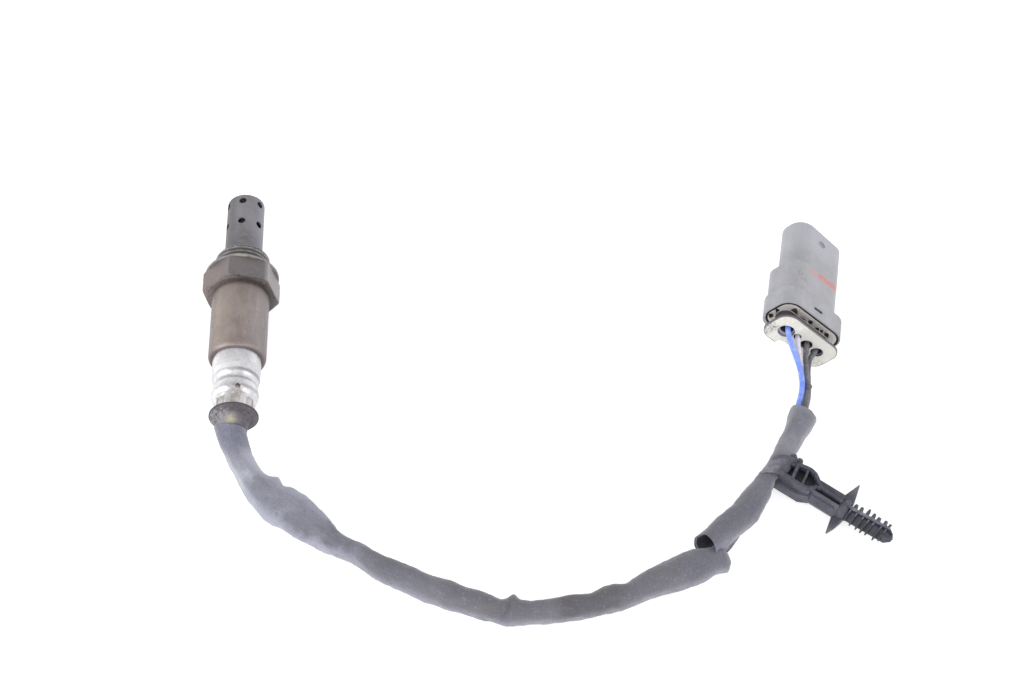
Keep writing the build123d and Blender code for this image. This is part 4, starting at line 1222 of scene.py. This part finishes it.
# bright rear cover
m, c = steel("cover_steel", lin(230, 229, 231), lin(208, 207, 211), lin(244, 244, 246), 0.36, 0.66, 0.6, 0.03)
x, y, z = m.axes()
rr = m.radius()
streak = m.noise(0.8, 4, 0.6, m.stretch(1.0, 0.35, 1.0))
c = m.mix(m.mul(m.ramp(streak, 0.52, 0.7), 0.45), c, lin(184, 184, 190))
# painted light and shade in bands round the cover: near-white painted highlights and darker bands of painted shade by
# the groove and the bead
wob = m.math("ADD", y, m.mul(m.noise(0.35, 2), 0.8))
c = m.mix(m.mul(m.band(wob, -38.9, -37.6, 0.5), m.ramp(x, -7.0, 2.0, 0.1, 0.3)), c, lin(214, 213, 216))
c = m.mix(m.mul(m.mul(m.band(wob, -42.3, -40.8, 0.5), m.band(x, -6.0, 1.5, 1.2)), 0.7), c, lin(252, 251, 253))
c = m.mix(m.mul(m.band(wob, -43.3, -42.6, 0.4), m.ramp(x, -1.0, 4.0, 0.2, 0.85)), c, lin(148, 146, 150))
c = m.mix(m.mul(m.band(wob, -46.2, -45.5, 0.35), m.ramp(x, -7.0, 3.0, 0.45, 0.7)), c, lin(150, 149, 156))
c = m.mix(m.mul(m.band(wob, -49.6, -48.8, 0.35), m.ramp(x, -1.0, 3.5, 0.15, 0.6)), c, lin(160, 158, 164))
c = m.mix(m.mul(m.mul(m.band(wob, -44.7, -43.9, 0.25), m.band(x, -4.6, 0.6, 0.9)), 0.9), c, lin(252, 252, 253))
c = m.mix(m.mul(m.mul(m.band(wob, -50.9, -49.9, 0.3), m.band(x, -5.4, -2.4, 0.7)), 0.9), c, lin(252, 252, 253))
# painted shade: both flanks of the cover darker
c = m.mix(m.mul(m.ramp(x, 5.8, 7.6), 0.4), c, lin(156, 154, 158))
c = m.mix(m.mul(m.ramp(x, -6.2, -7.6), 0.35), c, lin(166, 162, 166))
# darker, warmer inside the crimp dents: jaw marks of the crimp, with painted shade in the dents
dents = m.mul(m.ramp(y, -51.6, -52.4), m.ramp(rr, 6.75, 6.45))
c = m.mix(m.mul(dents, m.ramp(m.noise(0.7, 3), 0.25, 0.6, 0.1, 0.7)), c, lin(170, 163, 154))
stain = m.mul(m.spot((1.6, -51.2, 7.2), 0.8, 2.2), m.ramp(m.noise(1.4, 3), 0.35, 0.6))
c = m.mix(m.mul(stain, 0.7), c, lin(164, 136, 126))
# painted shade: the vent hole darkened
hole = m.spot((1.70, -50.1, 7.15), 0.55, 0.35)
c = m.mix(m.mul(hole, 0.9), c, lin(58, 52, 46))
c = m.mix(m.mul(m.mul(m.ramp(y, -51.0, -53.0), m.ramp(m.noise(0.45, 4), 0.42, 0.62)), 0.45), c, lin(176, 166, 156))
c = m.mix(m.mul(m.ramp(y, -55.4, -56.6), 0.5), c, lin(170, 164, 160))
m.color(c)
m.rough(m.ramp(m.noise(0.9, 4), 0.3, 0.7, 0.24, 0.46))
M["cover_steel"] = m.m

# rubber boot
m = Mat("boot_rubber", 0.66, 0.0)
x, y, z = m.axes()
rr = m.radius()
dust = m.ramp(m.noise(0.8, 5, 0.65), 0.36, 0.66)
c = m.mix(dust, lin(84, 80, 85), lin(108, 104, 110))
# dusty patches on the left of the flange
face = m.mul(m.ramp(y, -57.45, -57.75), m.ramp(x, 0.5, -3.5))
c = m.mix(m.mul(face, m.ramp(m.noise(1.2, 4, 0.7), 0.40, 0.6)), c, lin(158, 154, 158))
boss = m.mul(m.ramp(y, -58.2, -59.0), m.ramp(x, 4.5, -0.5))
c = m.mix(m.mul(m.mul(boss, m.ramp(z, 2.0, 4.2)), m.ramp(m.noise(0.9, 4, 0.65), 0.3, 0.6, 0.3, 0.75)), c, lin(156, 150, 156))
pale = m.mul(m.spot((-0.4, -61.2, 4.9), 0.2, 2.6), m.ramp(m.noise(1.1, 4, 0.65), 0.28, 0.6, 0.35, 1.0))
c = m.mix(m.mul(pale, 0.8), c, lin(200, 190, 160))
edge = m.mul(m.ramp(rr, 7.4, 7.8), m.ramp(y, -56.6, -56.9))
c = m.mix(m.mul(edge, 0.8), c, lin(66, 63, 68))
c = m.mix(m.mul(m.mul(m.ramp(y, -57.4, -57.8), m.ramp(z, 4.6, 6.6)), 0.55), c, lin(78, 74, 82))
c = m.mix(m.mul(m.ramp(m.noise(3.5, 3, 0.7), 0.60, 0.70), 0.6), c, lin(58, 56, 60))
m.color(c)
m.bump(m.noise(2.2, 4, 0.6), 0.12)
M["boot_rubber"] = m.m

# woven sleeve: fine braid, dust, rubbed and soiled stretches
m = Mat("sleeve_weave", 0.86, 0.0, Sheen_Weight=0.35, Sheen_Roughness=0.5)
m.b.inputs["Specular IOR Level"].default_value = 0.25
u, v = m.uv_axes()
U = m.math("MULTIPLY", u, 2 * pi * 4.4)
Vv = m.math("MULTIPLY", v, 2 * pi * 13)
s1 = m.math("SINE", m.math("ADD", U, Vv))
s2 = m.math("SINE", m.math("SUBTRACT", U, Vv))
braid = m.math("MULTIPLY", s1, s2)
strand = m.math("SINE", m.math("MULTIPLY", m.math("ADD", U, Vv), 3.0))
weave = m.math("ADD", m.math("MULTIPLY", braid, 0.5), m.math("MULTIPLY", strand, 0.16))
big = m.ramp(m.noise(0.055, 4, 0.6), 0.34, 0.68)
mid = m.ramp(m.noise(0.22, 4, 0.65), 0.36, 0.66)
fine = m.noise(1.7, 3, 0.7)
c = m.mix(big, lin(107, 107, 118), lin(129, 129, 140))
c = m.mix(m.mul(mid, 0.5), c, lin(102, 101, 109))
# dustier near the sensor, pale violet bend, browner low stretch
near = m.ramp(u, 6.5, 1.0)
c = m.mix(m.mul(near, 0.55), c, lin(162, 163, 174))
bend = m.band(u, 2.6, 5.4, 1.2)
c = m.mix(m.mul(bend, m.ramp(m.noise(0.13, 4, 0.6), 0.36, 0.62, 0.05, 0.6)), c, lin(170, 170, 188))
c = m.mix(m.mul(m.ramp(u, 1.6, 0.1), m.ramp(m.noise(0.3, 3), 0.3, 0.6, 0.4, 0.9)), c, lin(112, 112, 134))
c = m.mix(m.mul(m.band(u, 1.1, 1.7, 0.5), 0.65), c, lin(186, 188, 200))
c = m.mix(m.mul(m.band(u, 1.9, 3.4, 0.7), 0.35), c, lin(174, 175, 188))
c = m.mix(m.mul(m.ramp(u, 21.2, 22.4), 0.45), c, lin(150, 149, 158))
low = m.band(u, 9.5, 15.6, 1.2)
c = m.mix(m.mul(low, 0.5), c, lin(98, 95, 99))
c = m.mix(m.mul(m.band(u, 12.9, 14.3, 0.6), 0.6), c, lin(80, 77, 80))
c = m.mix(m.mul(m.mul(m.band(u, 7.5, 20.0, 1.0), m.ramp(m.noise(0.10, 4, 0.65, None, 0.6), 0.50, 0.66)), 0.45), c, lin(120, 114, 110))
# painted light and shade: lower flank paler, top darker
lit_lower_flank = m.band(v, 0.50, 0.78, 0.10)
c = m.mix(m.mul(lit_lower_flank, m.ramp(m.noise(0.12, 3), 0.3, 0.6, 0.2, 0.5)), c, lin(150, 150, 164))
top = m.mul(m.band(v, 0.20, 0.36, 0.08), m.ramp(m.noise(0.09, 3), 0.32, 0.58))
c = m.mix(m.mul(top, 0.5), c, lin(98, 98, 108))
# soiled spots and streaks
c = m.mix(m.mul(m.ramp(m.noise(0.42, 4, 0.7), 0.58, 0.74), 0.5), c, lin(96, 95, 101))
c = m.mix(m.mul(m.ramp(m.noise(0.75, 5, 0.75), 0.56, 0.72), 0.4), c, lin(160, 160, 166))
c = m.mix(m.mul(m.ramp(fine, 0.56, 0.74), 0.4), c, lin(164, 162, 166))
c = m.mix(m.mul(m.ramp(fine, 0.44, 0.28), 0.4), c, lin(88, 88, 96))
c = m.mix(m.mul(m.ramp(weave, -0.05, -0.5), 0.12), c, lin(78, 78, 86))
# rubbed pale rims; painted shade inside the open ends
c = m.mix(m.mul(m.ramp(u, 23.75, 24.05), 0.4), c, lin(150, 149, 152))
c = m.mix(m.ramp(u, -1.0, -1.9), c, lin(70, 68, 74))
m.color(c)
m.bump(weave, 0.10, 0.45)
m.bump(m.noise(1.1, 4, 0.65), 0.3, 0.7)
M["sleeve_weave"] = m.m


def plastic(name, base, dark, light, rough, dirt, dirt_at=(0.56, 0.7), amount=0.6, bump=0.02, spec=0.5):
    m = Mat(name, rough, 0.0)
    m.b.inputs["Specular IOR Level"].default_value = spec
    a = m.ramp(m.noise(0.18, 4, 0.6), 0.35, 0.68)
    c = m.mix(a, base, light)
    b = m.ramp(m.noise(0.9, 4, 0.65), 0.40, 0.70)
    c = m.mix(m.mul(b, 0.4), c, dark)
    d = m.ramp(m.noise(1.6, 5, 0.7), dirt_at[0], dirt_at[1])
    c = m.mix(m.mul(d, amount), c, dirt)
    m.color(c)
    m.bump(m.noise(4.0, 2, 0.5), bump)
    return m, c


m, c = plastic("lead_blue", lin(112, 142, 240), lin(92, 120, 222), lin(140, 168, 250), 0.36, lin(92, 106, 168), (0.64, 0.78), 0.5)
c = m.mix(m.mul(m.ramp(m.noise(0.5, 3, 0.6), 0.50, 0.66), 0.45), c, lin(176, 194, 246))
m.color(c)
M["lead_blue"] = m.m
m, c = plastic("lead_white", lin(212, 206, 214), lin(186, 180, 188), lin(226, 222, 232), 0.5, lin(128, 120, 122), (0.54, 0.70), 0.6)
M["lead_white"] = m.m
m, c = plastic("lead_black", lin(92, 91, 98), lin(62, 60, 66), lin(122, 121, 130), 0.52, lin(156, 155, 162), (0.50, 0.68), 0.6)
c = m.mix(m.mul(m.ramp(m.noise(1.3, 4, 0.7), 0.56, 0.66), 0.6), c, lin(50, 48, 54))
m.color(c)
M["lead_black"] = m.m
m, c = plastic("clip_nylon", lin(66, 67, 79), lin(46, 47, 57), lin(84, 85, 96), 0.46, lin(120, 119, 125), (0.55, 0.70), 0.45, 0.08)
su, sv, sw = m.along_axes((168.74, -75.31, LZ), (0.76604, -0.64279, 0.0), (0.64279, 0.76604, 0.0), (0.0, 0.0, 1.0))
wrap, wdir = m.along_axes((170.22, -76.88, LZ), (0.5454, 0.8382, 0.0), (0.8382, -0.5454, 0.0))
cuff = m.mul(m.ramp(su, 4.4, 2.6), m.ramp(m.noise(0.9, 4, 0.7), 0.32, 0.62, 0.35, 1.0))
cuff = m.mul(cuff, m.ramp(m.math("SUBTRACT", wrap, m.mul(wdir, 0.5)), 1.0, 3.0, 1.0, 0.3))
c = m.mix(m.mul(cuff, 0.95), c, lin(132, 129, 140))
c = m.mix(m.mul(m.ramp(m.noise(0.55, 4, 0.7), 0.56, 0.68), 0.4), c, lin(96, 91, 90))
# painted shade in the pockets of the head
pocket_shade = m.mul(m.mul(m.band(su, 4.6, 15.6, 0.3), m.band(sv, -1.3, 4.4, 0.3)), m.ramp(sw, 1.4, 0.5))
c = m.mix(m.mul(pocket_shade, 0.85), c, lin(32, 33, 43))
# painted shade in the stem's groove
groove_shade = m.mul(m.mul(m.band(su, 14.0, 24.4, 0.3), m.band(sv, -1.4, 1.8, 0.3)), m.ramp(sw, 1.6, 0.9))
c = m.mix(m.mul(groove_shade, 0.8), c, lin(34, 35, 45))
# barbs: painted shade between them, rubbed along their tops and the spine; greyer leaves
barb = m.ramp(su, 28.2, 28.8)
c = m.mix(m.mul(m.mul(barb, m.ramp(sw, 1.5, 0.9)), 0.75), c, lin(42, 44, 54))
rub = m.mul(barb, m.math("MAXIMUM", m.ramp(sw, 1.6, 2.0), m.mul(m.ramp(sw, 0.9, 1.5), m.ramp(sv, 2.2, 0.8))))
c = m.mix(m.mul(rub, m.ramp(m.noise(1.2, 3), 0.36, 0.6, 0.25, 0.75)), c, lin(128, 129, 139))
leaf = m.mul(m.band(su, 24.0, 28.4, 0.2), m.math("MAXIMUM", m.ramp(sv, 5.0, 10.5), m.ramp(sv, -4.5, -8.5)))
c = m.mix(m.mul(leaf, 0.55), c, lin(126, 126, 134))
m.color(c)
M["clip_nylon"] = m.m

# plug shell: matt grey plastic, scuffs, a worn orange-red ink smear
m, c = plastic("shell_plastic", lin(165, 165, 169), lin(153, 153, 157), lin(174, 174, 180), 0.58, lin(130, 128, 130), (0.60, 0.74), 0.5, 0.04)
smear_a, smear_b = plug(-4.3, 7.1, 18.0), plug(7.1, 6.9, 17.9)


def along(m, a, b, width, soft):
    """1 near the segment a-b."""
    d = b - a
    L = d.length
    d = d / L
    vm = m.new("ShaderNodeVectorMath")
    vm.operation = "SUBTRACT"
    m.link(m.mm, vm.inputs[0])
    vm.inputs[1].default_value = a
    dt = m.new("ShaderNodeVectorMath")
    dt.operation = "DOT_PRODUCT"
    m.link(vm.outputs[0], dt.inputs[0])
    dt.inputs[1].default_value = d
    t = m.math("MINIMUM", m.math("MAXIMUM", dt.outputs["Value"], 0.0), L)
    sc = m.new("ShaderNodeVectorMath")
    sc.operation = "SCALE"
    sc.inputs[0].default_value = d
    m.link(t, sc.inputs["Scale"])
    df = m.new("ShaderNodeVectorMath")
    df.operation = "DISTANCE"
    m.link(vm.outputs[0], df.inputs[0])
    m.link(sc.outputs[0], df.inputs[1])
    return m.ramp(df.outputs["Value"], width, width + soft, 1.0, 0.0)


ink = m.mul(along(m, smear_a, smear_b, 0.8, 2.0), m.ramp(m.noise(0.6, 4, 0.7), 0.30, 0.60, 0.25, 1.0))
c = m.mix(m.mul(ink, 0.5), c, lin(204, 146, 142))
core = m.mul(along(m, plug(-1.0, 7.1, 18.1), smear_b, 0.3, 1.3), m.ramp(m.noise(0.9, 4, 0.7), 0.34, 0.6, 0.2, 1.0))
c = m.mix(m.mul(core, 0.7), c, lin(212, 116, 112))
dull = m.mul(along(m, plug(-10.0, 7.1, 14.0), plug(-7.0, 7.1, 12.0), 0.6, 1.6), m.ramp(m.noise(0.8, 3), 0.4, 0.65))
c = m.mix(m.mul(dull, 0.45), c, lin(130, 124, 126))
pu, pv, ps = m.along_axes(plug_at, wide, narrow, fwd)
c = m.mix(m.mul(m.ramp(ps, 24.0, 31.0), 0.45), c, lin(184, 187, 194))
c = m.mix(m.mul(m.ramp(pu, 6.4, 12.4), 0.65), c, lin(132, 132, 136))
# painted shade in the latch window
latch = along(m, plug(-2.0, 7.3, 3.1), plug(1.0, 7.3, 3.4), 0.35, 0.5)
c = m.mix(m.mul(latch, 0.6), c, lin(112, 110, 116))
# painted shade in the dimple
dimple = m.spot(plug(-0.7, 6.3, 32.8), 1.0, 0.8)
c = m.mix(m.mul(dimple, 0.5), c, lin(122, 120, 126))
# painted shade: a black line in the gap at the shell's rim
gap = m.edge_gap(pu, pv, 0.1, -0.1, 12.65, 6.65, 4.6)
c = m.mix(m.mul(m.ramp(gap, 0.34, 0.2), m.ramp(ps, 7.0, 6.4)), c, lin(26, 24, 28))
m.color(c)
M["shell_plastic"] = m.m

m, c = plastic("retainer_plastic", lin(208, 206, 198), lin(184, 180, 172), lin(220, 219, 212), 0.5, lin(128, 120, 114), (0.60, 0.72), 0.6, 0.03)
pu, pv, ps = m.along_axes(plug_at, wide, narrow, fwd)
soil = m.math("MAXIMUM", m.mul(m.ramp(pu, -8.5, -10.5), m.ramp(pv, 1.0, -1.5)), m.mul(m.ramp(pu, 3.0, 7.0), m.ramp(pv, -0.5, -2.5)))
c = m.mix(m.mul(soil, m.ramp(m.noise(1.1, 4, 0.7), 0.40, 0.62)), c, lin(136, 132, 134))
# inner plate: creamier, mottled
inner = m.ramp(ps, -0.4, -0.1)
c = m.mix(m.mul(inner, 0.7), c, lin(206, 200, 195))
c = m.mix(m.mul(inner, m.ramp(m.noise(1.2, 4, 0.7), 0.50, 0.66, 0.0, 0.55)), c, lin(138, 128, 124))
c = m.mix(m.mul(m.mul(m.ramp(ps, -5.6, -5.75), m.ramp(pu, -5.0, -1.5)), 0.55), c, lin(190, 189, 180))
# outer plate: painted shade on its grey walls, painted light on the blue hole's wall, and a dark edge of painted shade
# with dirt
c = m.mix(m.band(ps, -5.68, -4.9, 0.08), c, lin(118, 113, 122))
lit_hole_wall = m.mul(m.spot(plug(-6.6, -0.2, -5.1), 3.0, 0.3), m.band(ps, -5.75, -4.95, 0.06))
c = m.mix(m.mul(lit_hole_wall, 0.8), c, lin(156, 152, 158))
gap = m.edge_gap(pu, pv, 0.0, -0.1, 12.9, 6.75, 4.5)
c = m.mix(m.mul(m.mul(m.ramp(gap, -0.42, -0.2), m.ramp(ps, -4.85, -4.95)), 0.85), c, lin(92, 88, 94))
# painted shade on the neck between the plates, in the depth behind the openings, and in a black line round the inner
# plate
c = m.mix(m.band(ps, -4.88, -0.1, 0.04), c, lin(70, 66, 74))
c = m.mix(m.mul(m.ramp(ps, 0.34, 0.6), 0.9), c, lin(78, 76, 82))
gap = m.edge_gap(pu, pv, 0.1, -0.1, 12.4, 6.4, 4.4)
c = m.mix(m.mul(m.ramp(gap, -0.34, -0.16), m.ramp(ps, -0.1, 0.0)), c, lin(26, 24, 28))
m.color(c)
M["retainer_plastic"] = m.m
m, c = plastic("seal_rubber", lin(78, 72, 74), lin(60, 56, 58), lin(96, 90, 92), 0.7, lin(44, 42, 42))
M["seal_rubber"] = m.m
m, c = plastic("ceramic", lin(232, 228, 220), lin(206, 200, 190), lin(240, 238, 232), 0.4, lin(150, 142, 132))
M["ceramic"] = m.m
m, c = plastic("talc", lin(208, 206, 200), lin(184, 182, 176), lin(220, 218, 214), 0.9, lin(150, 148, 142))
M["talc"] = m.m
m, c = plastic("filter_ptfe", lin(228, 228, 226), lin(206, 206, 204), lin(240, 240, 238), 0.7, lin(170, 164, 156))
M["filter_ptfe"] = m.m
m, c = steel("contact_steel", lin(188, 188, 190), lin(160, 160, 164), lin(214, 214, 216), 0.35, 0.9)
M["contact_steel"] = m.m
m, c = steel("contact_brass", lin(206, 190, 140), lin(176, 158, 110), lin(226, 214, 176), 0.35, 0.9)
M["contact_brass"] = m.m


def dress(obj, mat):
    if len(obj.material_slots) == 0:
        obj.data.materials.append(mat)
    for slot in obj.material_slots:
        slot.material = mat


node_slot = {
    "outer_protection_tube": "tube_steel", "inner_protection_tube": "inner_tube_steel",
    "sensing_element": "ceramic", "heater_rod": "ceramic", "seat_gasket": "gasket_steel",
    "hex_housing": "housing_steel", "talc_packing": "talc", "lower_bush": "ceramic",
    "crimp_ring": "contact_steel", "outer_contact_ring": "contact_steel", "inner_contact_tube": "contact_steel",
    "barrel_cover": "barrel_steel", "rear_cover": "cover_steel", "spring_washer": "contact_steel",
    "terminal_insulator": "ceramic", "vent_filter": "filter_ptfe", "cable_boot": "boot_rubber",
    "terminal_blue": "contact_steel", "terminal_white": "contact_steel", "terminal_black_a": "contact_steel",
    "terminal_black_b": "contact_steel", "heat_sleeve": "sleeve_weave", "lead_blue": "lead_blue",
    "lead_white": "lead_white", "lead_black_a": "lead_black", "lead_black_b": "lead_black",
    "fir_tree_clip": "clip_nylon", "connector_shell": "shell_plastic", "rear_retainer": "retainer_plastic",
    "wire_seal": "seal_rubber", "contact_1": "contact_brass", "contact_2": "contact_brass",
    "contact_3": "contact_brass", "contact_4": "contact_brass",
}
for n, slot in node_slot.items():
    dress(nodes[n], M[slot])
dress(sleeve, M["sleeve_weave"])
dress(body, M["housing_steel"])
dress(cover, M["cover_steel"])
dress(clip_piece, M["clip_nylon"])
dress(retainer, M["retainer_plastic"])
for name, ob in leads.items():
    dress(ob, M["lead_black" if name.startswith("black") else "lead_" + name])

# ---------------------------------------------------------------------------
# update, then the end
# ---------------------------------------------------------------------------
bpy.context.view_layer.update()
